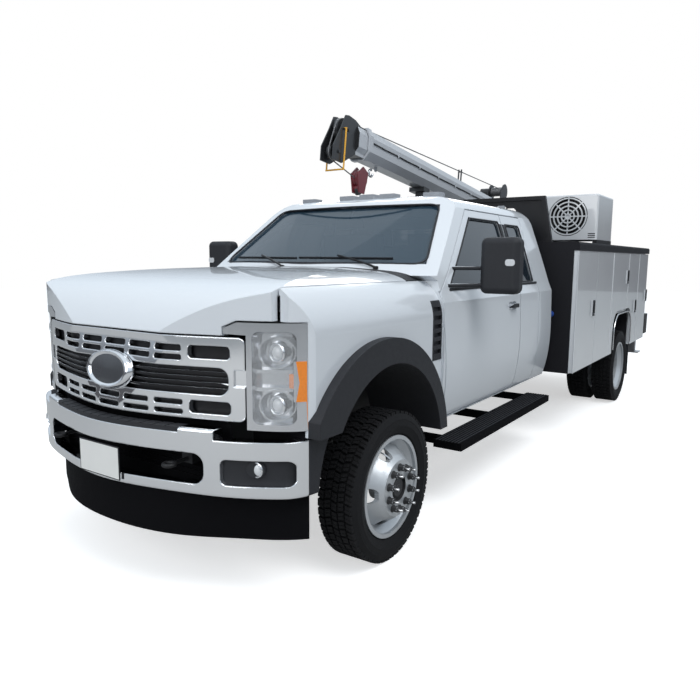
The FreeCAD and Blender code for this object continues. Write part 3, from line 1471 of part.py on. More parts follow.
def bumper_end(side):
    """Dark end of the bumper, ahead of the wheel"""
    return bumper_band().common(box((0, bumper_end_x - seat_gap), (0, side * (nose_half_width + overrun)),
                                    bumper_z))


def fog_plate(side):
    """Dark plate with a round lamp, filling the bumper's outer opening"""
    layer = plan_block(bumper_plan_x, bumper_plan_y, bumper_z, fog_depth[0]).cut(
        plan_block(bumper_plan_x, bumper_plan_y, (bumper_z[0] - overrun, bumper_z[1] + overrun),
                   fog_depth[1]))
    y = (side * (fog_y[0] + fit_gap), side * (fog_y[1] - fit_gap))
    plate = layer.common(slot_block(y, (fog_z[0] + fit_gap, fog_z[1] - fit_gap), fog_round,
                                    (bumper_end_x, front_end_x)))
    lamp = rod("x", side * fog_lamp_y, fog_lamp_z, fog_lamp_radius, (bumper_end_x, front_end_x))
    lamp = lamp.common(plan_block(bumper_plan_x, bumper_plan_y, bumper_z, fog_depth[0] / 2))
    lamp = lamp.cut(plan_block(bumper_plan_x, bumper_plan_y, (bumper_z[0] - overrun, bumper_z[1] + overrun),
                               bumper_wall))
    return fuse([plate, lamp])


def step_pad():
    """Ribbed pad on top of the bumper's middle"""
    low = bumper_centre_top_z - step_pad_depth + fit_gap
    band = plan_block(bumper_plan_x, bumper_plan_y, (low, bumper_centre_top_z), step_pad_rib)
    band = band.cut(plan_block(bumper_plan_x, bumper_plan_y, (low - overrun, bumper_centre_top_z + overrun),
                               bumper_wall + step_pad_rib))
    half = step_pad_half - fit_gap
    band = band.common(box((bumper_end_x, front_end_x), (-half, half), (low, bumper_centre_top_z)))
    pitch = half * 2 / step_pad_ribs
    grooves = [box((0, front_end_x), (-half + pitch * (index + 1) - step_pad_rib,
                                      -half + pitch * (index + 1) + step_pad_rib),
                   (bumper_centre_top_z - step_pad_rib,
                    bumper_centre_top_z + overrun)) for index in range(step_pad_ribs - 1)]
    return band.cut(Part.makeCompound(grooves))


def fender_vent():
    """Louvred dark vent in the left fender, behind the wheel"""
    block = box(vent_x, (vent_inner_y, nose_half_width + overrun), vent_z)
    vent = block.common(nose_layer(-side_marker_rise, nose_skin))
    pitch = (vent_z[1] - vent_z[0]) / (vent_louvres + 1)
    for index in range(vent_louvres):
        z = vent_z[0] + pitch * (index + 1)
        groove = box((vent_x[0] + vent_margin, vent_x[1] - vent_margin),
                     (vent_inner_y, nose_half_width + overrun),
                     (z - pitch / 4, z + pitch / 4))
        vent = vent.cut(groove.common(nose_layer(-overrun, nose_skin / 2)))
    return vent


def air_dam():
    return plan_band(dam_plan_x, dam_plan_y, dam_wall, dam_z)


def running_board():
    """Left running board on its brackets"""
    board = box(board_x, board_y, board_z)
    parts = [board]
    for x in board_bracket_x:
        parts.append(box((x - board_bracket_half, x + board_bracket_half),
                         (rail_y + rail_flange / 2 + fit_gap, board_y[0] + overrun),
                         (board_z[0], board_z[1])))
        parts.append(box((x - board_bracket_half, x + board_bracket_half),
                         (rail_y + rail_flange / 2 + fit_gap, rail_y + rail_flange / 2 + board_bracket_half),
                         (board_z[0], frame_top_z - rail_depth / 2)))
    return fuse(parts)


def well_cutter(grow=0.0):
    """Rounded wheel arch of the service body, open at the bottom"""
    x0, x1 = well_rear_x - grow, well_front_x + grow
    top = well_top_z + grow
    block = box((x0, x1), (0, body_half_width + overrun), (0, top))
    edges = [e for e in block.Edges if e.BoundBox.YLength > overrun and e.BoundBox.ZMin > top - overrun]
    return block.makeFillet(well_round, edges)


def comp_cavity(index):
    """Space behind one compartment door or pair of doors"""
    front = comp_seam_x[index] - (comp_wall if index == 0 else comp_post / 2)
    back = comp_seam_x[index + 1] + (comp_wall if index == 4 else comp_post / 2)
    return box((back, front), (comp_inner_y + comp_wall, body_half_width),
               (body_bottom_z + comp_wall, body_top_z - comp_wall))


def compartments():
    """Left row of compartments: walls, posts, arch and the dark top cap"""
    shell = box((body_rear_x, body_front_x), (comp_inner_y, comp_face_y), (body_bottom_z, body_top_z))
    wide = box((comp_seam_x[2] + comp_post / 2, comp_seam_x[0] - comp_wall),
               (comp_inner_y + comp_wall, body_half_width),
               (body_bottom_z + comp_wall, body_top_z - comp_wall))
    spaces = [wide] + [comp_cavity(index) for index in (2, 3, 4)]
    arch_skin = well_cutter(comp_wall)
    for space in spaces:
        shell = shell.cut(space.cut(arch_skin))
    shell = shell.cut(well_cutter())
    cap = box((body_rear_x, body_front_x), (comp_inner_y, body_half_width), (body_top_z, body_cap_z))
    cap = cap.makeFillet(comp_wall, [e for e in cap.Edges if e.Vertexes[0].Z > body_cap_z - 1
                                     and e.Vertexes[1].Z > body_cap_z - 1
                                     and min(v.Y for v in e.Vertexes) > body_half_width - 1])
    gate_pin = rod("y", body_rear_x + gate_wall / 2, gate_bottom_z + gate_wall / 2,
                   gate_pin_radius + running_fit,
                   (comp_inner_y - overrun, comp_inner_y + gate_pin_reach))
    return fuse([shell, cap]).cut(gate_pin)


def comp_door(index):
    """Left compartment door with its piano hinge, hung on the outside of the posts"""
    front = comp_seam_x[index] - comp_door_gap / 2
    back = comp_seam_x[index + 1] + comp_door_gap / 2
    door = box((back, front), (body_half_width - comp_door_thickness, body_half_width - handle_rise),
               (body_bottom_z + comp_door_margin, body_top_z - comp_door_margin))
    hinge = rod("z", front if comp_hinge_front[index] else back, body_half_width - handle_rise,
                comp_hinge_radius,
                (body_bottom_z + comp_door_margin, body_top_z - comp_door_margin))
    door = door.fuse(hinge).cut(well_cutter(well_margin))
    if handle_x[index]:
        grip = box((handle_x[index] - handle_width / 2, handle_x[index] + handle_width / 2),
                   (body_half_width - handle_rise * 2, body_half_width),
                   (handle_z[index] - handle_height / 2, handle_z[index] + handle_height / 2))
        door = door.fuse(grip).removeSplitter()
    return door


def body_deck():
    """Deck floor on its sills, and the wall at the front between the compartments"""
    half = comp_inner_y - fit_gap
    floor = box((body_rear_x + gate_wall + gate_floor_gap, body_front_x), (-half, half), deck_z)
    wall = box((body_front_x - bulkhead_wall, body_front_x), (-half, half), (deck_z[0], bulkhead_top_z))
    sills = []
    for side in (1, -1):
        sills.append(box((frame_rear_x, body_front_x), (side * deck_sill_y[0], side * deck_sill_y[1]),
                         (frame_top_z + fit_gap, deck_z[0])))
    return fuse([floor, wall] + sills)


def tailgate():
    """Rear gate between the compartments, hinged at its bottom edge"""
    half = comp_inner_y - gate_gap
    panel = box((body_rear_x, body_rear_x + gate_wall), (-half, half), (gate_bottom_z, gate_top_z))
    pin_end = comp_inner_y + gate_pin_reach - seat_gap
    pin = rod("y", body_rear_x + gate_wall / 2, gate_bottom_z + gate_wall / 2, gate_pin_radius,
              (-pin_end, pin_end))
    return fuse([panel, pin])


def rack_cell(y, z):
    """One lengthened hexagon of the screen"""
    half = rack_cell_width / 2
    rise = rack_cell_height / 2
    points = [(y - half, z), (y - half + rise, z + rise), (y + half - rise, z + rise),
              (y + half, z), (y + half - rise, z - rise), (y - half + rise, z - rise)]
    return prism(points, "yz", (rack_x[0] - overrun, rack_x[1] + overrun))


def headache_rack():
    """Guard behind the cab: tube frame round a plate with a honeycomb of openings"""
    points = [(rack_base_half, rack_base_z + fit_gap), (rack_top_half, rack_top_z),
              (-rack_top_half, rack_top_z), (-rack_base_half, rack_base_z + fit_gap)]
    frame = prism(points, "yz", rack_x).cut(prism(points, "yz", (rack_x[0] - overrun, rack_x[1] + overrun),
                                                  rack_tube))
    middle = (rack_x[0] + rack_x[1]) / 2
    plate = prism(points, "yz", (middle - rack_plate / 2, middle + rack_plate / 2), rack_tube / 2)
    pitch_y = rack_cell_width - rack_cell_height / 2 + rack_cell_web
    pitch_z = rack_cell_height + rack_cell_web
    cells = []
    for column in range(rack_cell_columns):
        y = (column - (rack_cell_columns - 1) / 2) * pitch_y
        for row in range(rack_cell_rows):
            z = rack_cell_bottom_z + row * pitch_z + (pitch_z / 2 if column % 2 else 0)
            cells.append(rack_cell(y, z))
    return fuse([frame, plate.cut(Part.makeCompound(cells))])


def compressor():
    """Boxed compressor on two rails, its fan behind rings and spokes in the front wall"""
    front = compressor_x[1]
    case = box(compressor_x, compressor_y, compressor_z)
    case = case.makeFillet(compressor_round,
                           [e for e in case.Edges if e.BoundBox.ZMax > compressor_z[1] - fit_gap
                            or e.BoundBox.ZLength > compressor_round])
    recess = rod("x", fan_y, fan_z, fan_radius, (front - fan_depth * 4, front + overrun))
    pitch = fan_radius / fan_rings
    rings = []
    for ring in range(fan_rings):
        outer = pitch * (ring + 1) - pitch * fan_gap_share
        band = rod("x", fan_y, fan_z, outer, (front - fan_depth, front))
        rings.append(band.cut(rod("x", fan_y, fan_z, outer - fan_ring_width,
                                  (front - fan_depth - overrun, front + overrun))))
    for turn in range(fan_spokes):
        spoke = box((front - fan_depth, front - fan_depth / 2),
                    (fan_y - fan_ring_width / 2, fan_y + fan_ring_width / 2),
                    (fan_z - fan_radius - fit_gap, fan_z + fan_radius + fit_gap))
        spoke.rotate(vector(0, fan_y, fan_z), vector(1, 0, 0), turn * 180 / fan_spokes)
        rings.append(spoke)
    vents = []
    for y in (compressor_y[0] + compressor_round, compressor_y[1] - compressor_round - vent_slot_length):
        for row in range(vent_slot_rows):
            z = compressor_z[0] + compressor_round + row * vent_slot_width * 2
            vents.append(box((front - fan_depth, front + overrun), (y, y + vent_slot_length),
                             (z, z + vent_slot_width)))
    rails = []
    for y in compressor_y:
        inward = compressor_rail if y < fan_y else -compressor_rail
        rails.append(box(compressor_x, (y, y + inward), (body_cap_z + fit_gap, compressor_z[0])))
    return fuse([case.cut(recess).cut(Part.makeCompound(vents))] + rings + rails)


def rear_bumper():
    """Hollow work bumper with stabiliser sleeves, hitch receiver and frame brackets"""
    outer = box(rear_step_x, (-rear_step_half, rear_step_half), rear_step_z)
    hollow = box((rear_step_x[0] + rear_step_wall, rear_step_x[1] - rear_step_wall),
                 (-rear_step_half + rear_step_wall, rear_step_half - rear_step_wall),
                 (rear_step_z[0] - overrun, rear_step_z[1] - rear_step_wall))
    parts = [outer.cut(hollow)]
    sleeve_inner = leg_half + leg_sleeve_gap
    sleeve_outer = sleeve_inner + rear_step_wall
    for side in (1, -1):
        y = side * leg_y
        tube = box((leg_x - sleeve_outer, leg_x + sleeve_outer), (y - sleeve_outer, y + sleeve_outer),
                   (rear_step_z[0] - leg_half, rear_step_z[1]))
        tube = fuse([tube, box((leg_x - sleeve_outer, rear_step_x[1] - rear_step_wall / 2),
                               (y - rear_step_wall, y + rear_step_wall),
                               (rear_step_z[0], rear_step_z[1]))])
        parts.append(tube)
        pod = box((rear_end_x, rear_end_x + lamp_pod_depth), (side * lamp_pod_y[0], side * lamp_pod_y[1]),
                  (lamp_pod_z, lamp_pod_z + lamp_pod_height))
        parts.append(pod)
        parts.append(box((rear_step_x[0] + rear_step_wall / 2, frame_rear_x + rail_flange),
                         (side * (rail_y + rail_flange / 2 + fit_gap),
                          side * (rail_y + rail_flange / 2 + rail_wall * 2)),
                         (frame_top_z - rail_depth, frame_top_z - rail_wall)))
    receiver = box((rear_end_x, rear_end_x + receiver_length),
                   (-receiver_half - receiver_wall, receiver_half + receiver_wall),
                   (receiver_z - receiver_half - receiver_wall, receiver_z + receiver_half + receiver_wall))
    hanger = box((rear_end_x + receiver_length / 2, rear_end_x + receiver_length),
                 (-receiver_half, receiver_half), (receiver_z + receiver_half,
                                                   rear_step_z[1] - rear_step_wall / 2))
    parts += [receiver, hanger]
    solid = fuse(parts)
    cuts = [box((rear_end_x - overrun, rear_end_x + receiver_length + overrun),
                (-receiver_half, receiver_half),
                (receiver_z - receiver_half, receiver_z + receiver_half)),
            rod("y", rear_end_x + hitch_pin_inset, receiver_z, hitch_pin_radius,
                (-receiver_half - receiver_wall - overrun, receiver_half + receiver_wall + overrun))]
    for side in (1, -1):
        y = side * leg_y
        cuts.append(box((leg_x - sleeve_inner, leg_x + sleeve_inner), (y - sleeve_inner, y + sleeve_inner),
                        (rear_step_z[0] - leg_half - overrun, rear_step_z[1] - rear_step_wall)))
    return solid.cut(Part.makeCompound(cuts))


def stabiliser():
    """Left stabiliser leg with its foot plate"""
    leg = box((leg_x - leg_half, leg_x + leg_half), (leg_y - leg_half, leg_y + leg_half), (foot_z, leg_top_z))
    foot = box((leg_x - foot_half, leg_x + foot_half), (leg_y - foot_half, leg_y + foot_half),
               (foot_z, foot_z + foot_thickness))
    return fuse([leg, foot])


def boom_frame(shape):
    """Carry a piece drawn along +X at the origin to the boom's pin and slope"""
    shape.rotate(vector(0, 0, 0), vector(0, 1, 0), -boom_angle)
    shape.translate(vector(boom_pivot_x, mast_y, boom_pivot_z))
    return shape


def hexagon(half_width, half_height):
    corner = half_height * boom_corner_share
    top, foot = half_width * boom_top_share, half_width * boom_foot_share
    return [(half_width, -corner), (half_width, corner), (top, half_height), (-top, half_height),
            (-half_width, corner), (-half_width, -corner), (-foot, -half_height), (foot, -half_height)]


def crane_base():
    """Pedestal in the corner compartment, and the boom's rest"""
    pedestal = rod("z", mast_x, mast_y, pedestal_radius,
                   (body_bottom_z + comp_wall + fit_gap, body_cap_z + ring_height))
    ring = rod("z", mast_x, mast_y, ring_radius, (body_cap_z + fit_gap, body_cap_z + ring_height))
    slope = math.radians(boom_angle)
    rest_top = boom_pivot_z + (rest_x - boom_pivot_x) * math.tan(slope) - boom_half_height - rest_pad
    post = box((rest_x - rest_post_half, rest_x + rest_post_half),
               (mast_y - rest_post_half, mast_y + rest_post_half),
               (body_cap_z + fit_gap, rest_top))
    shoe = box((-rest_half_length, rest_half_length), (-rest_half_width, rest_half_width), (-rest_pad, 0))
    along = (rest_x - boom_pivot_x) / math.cos(math.radians(boom_angle))
    shoe.translate(vector(along, 0, -boom_half_height - rest_gap))
    shoe = boom_frame(shoe)
    return [fuse([pedestal, ring]), fuse([post, shoe])]


def crane_mast():
    """Turning mast: base disc, two side plates and the pins they carry"""
    base_low = body_cap_z + ring_height + ring_gap
    base = rod("z", mast_x, mast_y, ring_radius, (base_low, base_low + mast_base_height))
    floor_plate = box((mast_rear_x, mast_front_x), (mast_y - mast_inner_half - mast_plate,
                                                    mast_y + mast_inner_half + mast_plate),
                      (base_low + mast_base_height - mast_plate, base_low + mast_base_height))
    parts = [base, floor_plate]
    low = base_low + mast_base_height - mast_plate
    points = [(mast_rear_x, low), (mast_front_x, low), (mast_front_x, cylinder_root_z + cylinder_eye),
              (boom_pivot_x + mast_crown, boom_pivot_z + mast_crown),
              (boom_pivot_x - mast_crown, boom_pivot_z + mast_crown),
              (mast_rear_x, boom_pivot_z - mast_crown)]
    for side in (1, -1):
        near = mast_y + side * mast_inner_half
        parts.append(prism(points, "xz", (near, near + side * mast_plate)))
    half = mast_inner_half + mast_plate + mast_pin_end
    reach = (mast_y - half, mast_y + half)
    parts.append(rod("y", boom_pivot_x, boom_pivot_z, boom_pin_radius, reach))
    parts.append(rod("y", cylinder_root_x, cylinder_root_z, cylinder_pin_radius, reach))
    return fuse(parts)


def boom():
    """Outer boom: hollow hexagonal beam with its collar, the rod's lugs and the tie for the hook"""
    beam = prism(hexagon(boom_half_width, boom_half_height), "yz", (-boom_tail, boom_length))
    room = prism(hexagon(boom_half_width, boom_half_height), "yz",
                 (boom_length * boom_room_share, boom_length + overrun), boom_wall)
    collar = prism(hexagon(boom_half_width + boom_collar_rise, boom_half_height + boom_collar_rise), "yz",
                   (boom_length - boom_collar, boom_length))
    collar = collar.cut(prism(hexagon(boom_half_width + fit_gap, boom_half_height + fit_gap), "yz",
                              (boom_length - boom_collar * 2, boom_length + overrun)))
    eye = rod("y", 0, 0, boom_pin_radius + running_fit,
              (-boom_half_width - overrun, boom_half_width + overrun))
    shape = beam.cut(room).cut(eye)
    under = -boom_half_height - fit_gap
    lugs = []
    for side in (1, -1):
        near = side * rod_lug_half
        far = side * (rod_lug_half + rod_lug_plate)
        points = [(rod_pin_along - rod_eye * 3, under), (rod_pin_along + rod_eye * 3, under),
                  (rod_pin_along + rod_eye, -rod_pin_down - rod_eye),
                  (rod_pin_along - rod_eye, -rod_pin_down - rod_eye)]
        pin = rod("y", rod_pin_along, -rod_pin_down, cylinder_pin_radius,
                  (near + side * rod_lug_plate / 2, far + side * rod_lug_plate))
        lugs.append(fuse([prism(points, "xz", (near, far)), pin]))
    tie = box((hook_bracket_along - cylinder_wall, hook_bracket_along + cylinder_wall * 3),
              (-cylinder_wall / 2, cylinder_wall / 2), (under - hook_bracket_drop, under))
    return [boom_frame(solid) for solid in [shape, collar, tie] + lugs]


def boom_extension():
    """Sliding inner boom with the sheave head at its end"""
    inset = boom_wall + inner_gap
    half_w, half_h = boom_half_width, boom_half_height
    beam = prism(hexagon(half_w, half_h), "yz", (boom_length * boom_room_share + inner_tail,
                                                 boom_length + head_start), inset)
    room = prism(hexagon(half_w, half_h), "yz", (0, boom_length + head_start - inset),
                 inset + inner_boom_wall)
    beam = beam.cut(room)
    plates = []
    base = boom_length + fit_gap
    points = [(base, -half_h), (base, sheave_up + sheave_radius / 2),
              (base + sheave_along - sheave_radius, head_top_up - head_plate),
              (base + sheave_along, head_top_up), (base + sheave_along + sheave_radius / 2,
                                                   head_top_up - head_plate),
              (base + sheave_along + sheave_radius, sheave_up), (base + head_length, -half_h),
              (base + head_length, -head_low_down),
              (base + nose_sheave_along - nose_sheave_radius, -head_low_down),
              (base + head_start, -half_h)]
    for side in (1, -1):
        near = side * head_half
        plates.append(prism(points, "xz", (near, near + side * head_plate)))
    block = box((base, base + head_start), (-head_half - head_plate, head_half + head_plate),
                (-half_h, half_h))
    wheels = []
    for along, up, radius in ((sheave_along, sheave_up, sheave_radius),
                              (nose_sheave_along, -nose_sheave_down, nose_sheave_radius)):
        wheels.append(rod("y", base + along, up, radius, (-sheave_width / 2, sheave_width / 2)))
        wheels.append(rod("y", base + along, up, boom_pin_radius / 2,
                          (-head_half - head_plate * 2, head_half + head_plate * 2)))
    frame = []
    for side in (1, -1):
        y = side * (head_half + head_plate * 3)
        frame.append(rod("z", base + guard_along, y, guard_radius, (-guard_drop, sheave_up)))
        frame.append(box((base + guard_along - guard_radius, base + guard_along + guard_radius),
                         (side * head_half, y),
                         (sheave_up - guard_radius * 2, sheave_up)))
    frame.append(rod("y", base + guard_along, -guard_drop, guard_radius,
                     (-head_half - head_plate * 3 - guard_radius, head_half + head_plate * 3 + guard_radius)))
    return boom_frame(fuse([beam, block] + plates + wheels + frame))


def winch():
    """Winch on the boom's tail and the hoist rope that runs above the boom"""
    drum = rod("y", winch_along, winch_up, drum_radius, (-drum_half, drum_half))
    flanges = []
    for side in (1, -1):
        flanges.append(rod("y", winch_along, winch_up, drum_flange_radius,
                           (side * drum_half, side * (drum_half + drum_flange))))
        cheek_low = boom_half_height + fit_gap
        cheek = box((winch_along - drum_radius, winch_along + winch_foot),
                    (side * drum_half, side * (drum_half + drum_flange)),
                    (cheek_low, winch_up))
        flanges.append(cheek)
    foot = box((-boom_tail, winch_along + winch_foot), (-drum_half - drum_flange, drum_half + drum_flange),
               (boom_half_height + fit_gap, boom_half_height + fit_gap + drum_flange))
    motor = rod("y", winch_along, winch_up, winch_motor_radius,
                (-drum_half - drum_flange - winch_motor_length, -drum_half))
    rope_end_along = boom_length
    rope_end_up = sheave_up + sheave_radius + rope_radius
    rope_start_up = winch_up + drum_radius - rope_radius
    rope = bar(vector(winch_along, 0, rope_start_up), vector(rope_end_along, 0, rope_end_up), rope_radius)
    wraps = [Part.makeTorus(drum_radius, rope_radius,
                            vector(winch_along, -drum_half + rope_radius * (2 * turn + 1), winch_up),
                            vector(0, 1, 0)) for turn in range(drum_turns)]
    share = (guide_along - winch_along) / (rope_end_along - winch_along)
    guide_up = rope_start_up + (rope_end_up - rope_start_up) * share
    fork = [box((guide_along - guide_plate, guide_along + guide_plate),
                (side * rope_radius * 2, side * rope_radius * 4),
                (boom_half_height + fit_gap, guide_up + rope_radius * 4)) for side in (1, -1)]
    fork.append(box((guide_along - guide_plate * 2, guide_along + guide_plate * 2),
                    (-rope_radius * 6, rope_radius * 6),
                    (boom_half_height + fit_gap, boom_half_height + fit_gap + guide_plate)))
    fork.append(box((guide_along - guide_plate, guide_along + guide_plate),
                    (-rope_radius * 4, rope_radius * 4),
                    (guide_up - rope_radius * 2, guide_up - rope_radius / 2)))
    return boom_frame(fuse([drum, foot, motor, rope] + flanges + wraps + fork))


def lift_geometry():
    """Closed linkage of the lift cylinder at rest: its slope and its length"""
    slope = math.radians(boom_angle)
    pin_x = boom_pivot_x + rod_pin_along * math.cos(slope) + rod_pin_down * math.sin(slope)
    pin_z = boom_pivot_z + rod_pin_along * math.sin(slope) - rod_pin_down * math.cos(slope)
    across, up = pin_x - cylinder_root_x, pin_z - cylinder_root_z
    return math.degrees(math.atan2(up, across)), math.hypot(across, up)


def cylinder_frame(shape):
    angle, length = lift_geometry()
    shape.rotate(vector(0, 0, 0), vector(0, 1, 0), -angle)
    shape.translate(vector(cylinder_root_x, mast_y, cylinder_root_z))
    return shape


def lift_cylinder():
    """Barrel with its lower eye, bored for the rod"""
    angle, length = lift_geometry()
    barrel_end = length - rod_eye * 2
    eye = rod("y", 0, 0, cylinder_eye, (-cylinder_eye_half, cylinder_eye_half))
    barrel = rod("x", 0, 0, cylinder_radius, (cylinder_eye / 2, barrel_end))
    bore = rod("x", 0, 0, rod_radius + running_fit, (cylinder_eye * 2, barrel_end + overrun))
    pin = rod("y", 0, 0, cylinder_pin_radius + running_fit,
              (-cylinder_eye_half - overrun, cylinder_eye_half + overrun))
    return cylinder_frame(fuse([eye, barrel]).cut(bore).cut(pin))


def lift_rod():
    """Rod with its upper eye between the boom's lugs"""
    angle, length = lift_geometry()
    stem = rod("x", 0, 0, rod_radius, (cylinder_eye * 2 + rod_overlap / 2, length))
    eye = rod("y", length, 0, rod_eye, (-rod_lug_half + cylinder_wall, rod_lug_half - cylinder_wall))
    return cylinder_frame(fuse([stem, eye]))


def hook_block():
    """Sheave block on the fall of the rope, with its hook stowed towards the bracket under the boom"""
    high, low = -hook_down + hook_half_height, -hook_down - hook_half_height
    back, front = hook_along - hook_half_length, hook_along + hook_half_length
    cheek = [(back, high - hook_half), (hook_along, high), (front, -hook_down + hook_half),
             (hook_along + hook_half, low), (hook_along - hook_half, low)]
    cheeks = [prism(cheek, "xz", (side * hook_half, side * (hook_half - hook_cheek))) for side in (1, -1)]
    sheave = rod("y", hook_along, -hook_down + hook_cheek, hook_half_length - hook_cheek,
                 (-hook_half, hook_half))
    groove = ring_profile([(-hook_cheek / 2, hook_half_length), (0, hook_half_length - hook_cheek * 2),
                           (hook_cheek / 2, hook_half_length)],
                          hook_along, 0, -hook_down + hook_cheek)
    weight = rod("y", hook_along, low + hook_half, hook_half, (-hook_half, hook_half))
    across = boom_length + nose_sheave_along - hook_along - hook_half
    up = hook_down - nose_sheave_down
    reach = nose_sheave_radius + rope_radius + fit_gap
    strand = math.sqrt(across ** 2 + up ** 2 - reach ** 2)
    slope = math.atan2(up, across) - math.asin(reach / math.hypot(across, up))
    start = vector(hook_along + hook_half, 0, -hook_down)
    rope = bar(start, start + vector(math.cos(slope), 0, math.sin(slope)) * strand, rope_radius)
    eye = vector(hook_bracket_along + hook_throat * 2 + cylinder_wall * 3, 0,
                 -boom_half_height - hook_bracket_drop - hook_throat)
    shank = bar(vector(hook_along, 0, -hook_down), eye + vector(hook_throat, 0, -hook_throat / 2), hook_wire)
    ring = Part.makeTorus(hook_throat, hook_wire, eye, vector(0, 1, 0))
    mouth = box((eye.x - hook_throat * 2, eye.x - hook_throat / 4), (-hook_half, hook_half),
                (eye.z, eye.z + hook_throat * 2))
    return boom_frame(fuse(cheeks + [sheave.cut(groove), weight, rope, shank, ring.cut(mouth)]))


def save(name, shapes):
    """Move a piece from the front axle to the truck's middle and write it"""
    solids = shapes if isinstance(shapes, list) else [shapes]
    shape = solids[0] if len(solids) == 1 else Part.makeCompound(solids)
    shape = shape.copy()
    shape.translate(vector(front_axle_x, 0, 0))
    shape.exportStep(os.path.join("parts", name + ".step"))
    faults = "" if shape.isValid() else " INVALID"
    print(name, len(shape.Solids), round(shape.Volume / 1e6, 3), faults)


def main():
    os.makedirs("parts", exist_ok=True)
    save("chassis_frame", chassis_frame())
    save("engine", engine())
    save("front_axle", [front_axle(), coil_spring(1), coil_spring(-1)])
    save("rear_axle", rear_axle())
    save("exhaust", exhaust())
    save("fuel_tank", fuel_tank())
    save("front_bumper", front_bumper())
    save("grille", grille())
    save("headlamps", both(headlamp()) + both(headlamp_lens()))
    save("front_fenders", both(fender()) + [cowl()])
    save("splash_guards", both(flare()) + both(mud_flap()) + both(fender_vent()) + [air_dam(), step_pad()]
         + [bumper_end(1), bumper_end(-1), fog_plate(1), fog_plate(-1)])
    save("hood", hood())
    save("cab_shell", cab_shell())
    save("cab_glass", cab_glass())
    save("cab_interior", cab_interior())
    save("running_boards", both(running_board()))
    front_door, front_glass = door_pair(front_door_outline(), window_margin)
    handle, cup = door_handle()
    front_door = fuse([front_door.cut(cup)] + handle + mirror_arm_and_head())
    rear_door, rear_glass = door_pair(rear_door_outline(), rear_window_margin)
    for side, turn in (("left", lambda s: s), ("right", mirrored)):
        save("front_door_" + side, turn(front_door))
        save("front_door_glass_" + side, turn(front_glass))
        save("rear_door_" + side, turn(rear_door))
        save("rear_door_glass_" + side, turn(rear_glass))
        save("knuckle_" + side, turn(knuckle()))
        save("tyre_front_" + side, turn(tyre(0, front_wheel_y)))
        save("wheel_front_" + side, turn(front_wheel()))
        save("tyres_rear_" + side, [turn(tyre(-wheelbase, rear_hub_face_y - disc_offset)),
                                    turn(tyre(-wheelbase, rear_hub_face_y + disc_offset))])
        save("wheels_rear_" + side, turn(rear_wheels()))
        for index, letter in enumerate(comp_door_names):
            save("body_door_" + letter + "_" + side, turn(comp_door(index)))
        save("stabiliser_" + side, turn(stabiliser()))
    left_row = compartments()
    well = rod("z", mast_x, mast_y, pedestal_radius + fit_gap,
               (body_top_z - comp_wall - overrun, body_cap_z + overrun))
    save("body_compartments", [left_row, mirrored(left_row).cut(well)])
    save("body_deck", body_deck())
    save("headache_rack", headache_rack())
    save("compressor", compressor())
    save("rear_bumper", rear_bumper())
    save("tailgate", tailgate())
    save("crane_base", crane_base())
    save("crane_mast", crane_mast())
    save("boom", boom())
    save("boom_extension", boom_extension())
    save("lift_cylinder", lift_cylinder())
    save("lift_rod", lift_rod())
    save("winch", winch())
    save("hook_block", hook_block())


main()
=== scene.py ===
# %% [markdown]
# This lesson dresses a white service truck with a crane. The truck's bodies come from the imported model,
# which gives every piece its place, and each cell adds one finish or one kind of piece to it.

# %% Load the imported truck
import bpy
import math
from mathutils import Matrix, Vector


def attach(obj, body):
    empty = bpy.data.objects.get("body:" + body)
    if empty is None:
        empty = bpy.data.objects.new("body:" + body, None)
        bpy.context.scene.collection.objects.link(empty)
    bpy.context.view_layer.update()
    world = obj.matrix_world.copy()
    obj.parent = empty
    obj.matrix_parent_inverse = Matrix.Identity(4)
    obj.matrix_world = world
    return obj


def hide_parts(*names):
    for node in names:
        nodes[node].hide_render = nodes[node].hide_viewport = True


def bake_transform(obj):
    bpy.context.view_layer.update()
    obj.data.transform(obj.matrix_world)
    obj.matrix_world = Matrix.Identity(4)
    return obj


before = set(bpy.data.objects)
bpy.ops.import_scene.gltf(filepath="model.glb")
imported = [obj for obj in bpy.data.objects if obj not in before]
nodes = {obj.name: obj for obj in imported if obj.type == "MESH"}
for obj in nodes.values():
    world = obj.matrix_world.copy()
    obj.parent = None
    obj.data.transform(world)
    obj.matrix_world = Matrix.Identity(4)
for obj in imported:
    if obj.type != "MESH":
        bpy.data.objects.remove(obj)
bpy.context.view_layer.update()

# %% [markdown]
# The camera stands where the photographer stood, at the left front corner and at eye height. It isn't
# placed by eye: its place and angles were worked out from edges of known length, so a piece that is right
# also lies right in the picture.

# %% Camera
front_axle_x = 2.7135
camera_place = Vector((front_axle_x + 2.802, 2.6737, 1.5935))
camera_yaw = math.radians(214.234)
camera_dip = math.radians(8.125)
camera_roll = math.radians(0.362)
sensor_width = 36.0
focal_length = 32.645


def aim(yaw, dip, roll):
    """Camera rotation from its heading, its dip below the horizon and its roll"""
    ahead = Vector((math.cos(yaw) * math.cos(dip), math.sin(yaw) * math.cos(dip), -math.sin(dip)))
    level = Vector((math.sin(yaw), -math.cos(yaw), 0.0))
    above = level.cross(ahead)
    right = math.cos(roll) * level + math.sin(roll) * above
    up = math.cos(roll) * above - math.sin(roll) * level
    return Matrix((right, up, -ahead)).transposed()


lens = bpy.data.cameras.new("photo_camera")
lens.sensor_width = sensor_width
lens.lens = focal_length
camera = bpy.data.objects.new("photo_camera", lens)
camera.matrix_world = Matrix.Translation(camera_place) @ aim(camera_yaw, camera_dip, camera_roll).to_4x4()
bpy.context.scene.collection.objects.link(camera)
bpy.context.scene.camera = camera
print("camera at", [round(v, 3) for v in camera_place], "with a lens of", focal_length, "mm")

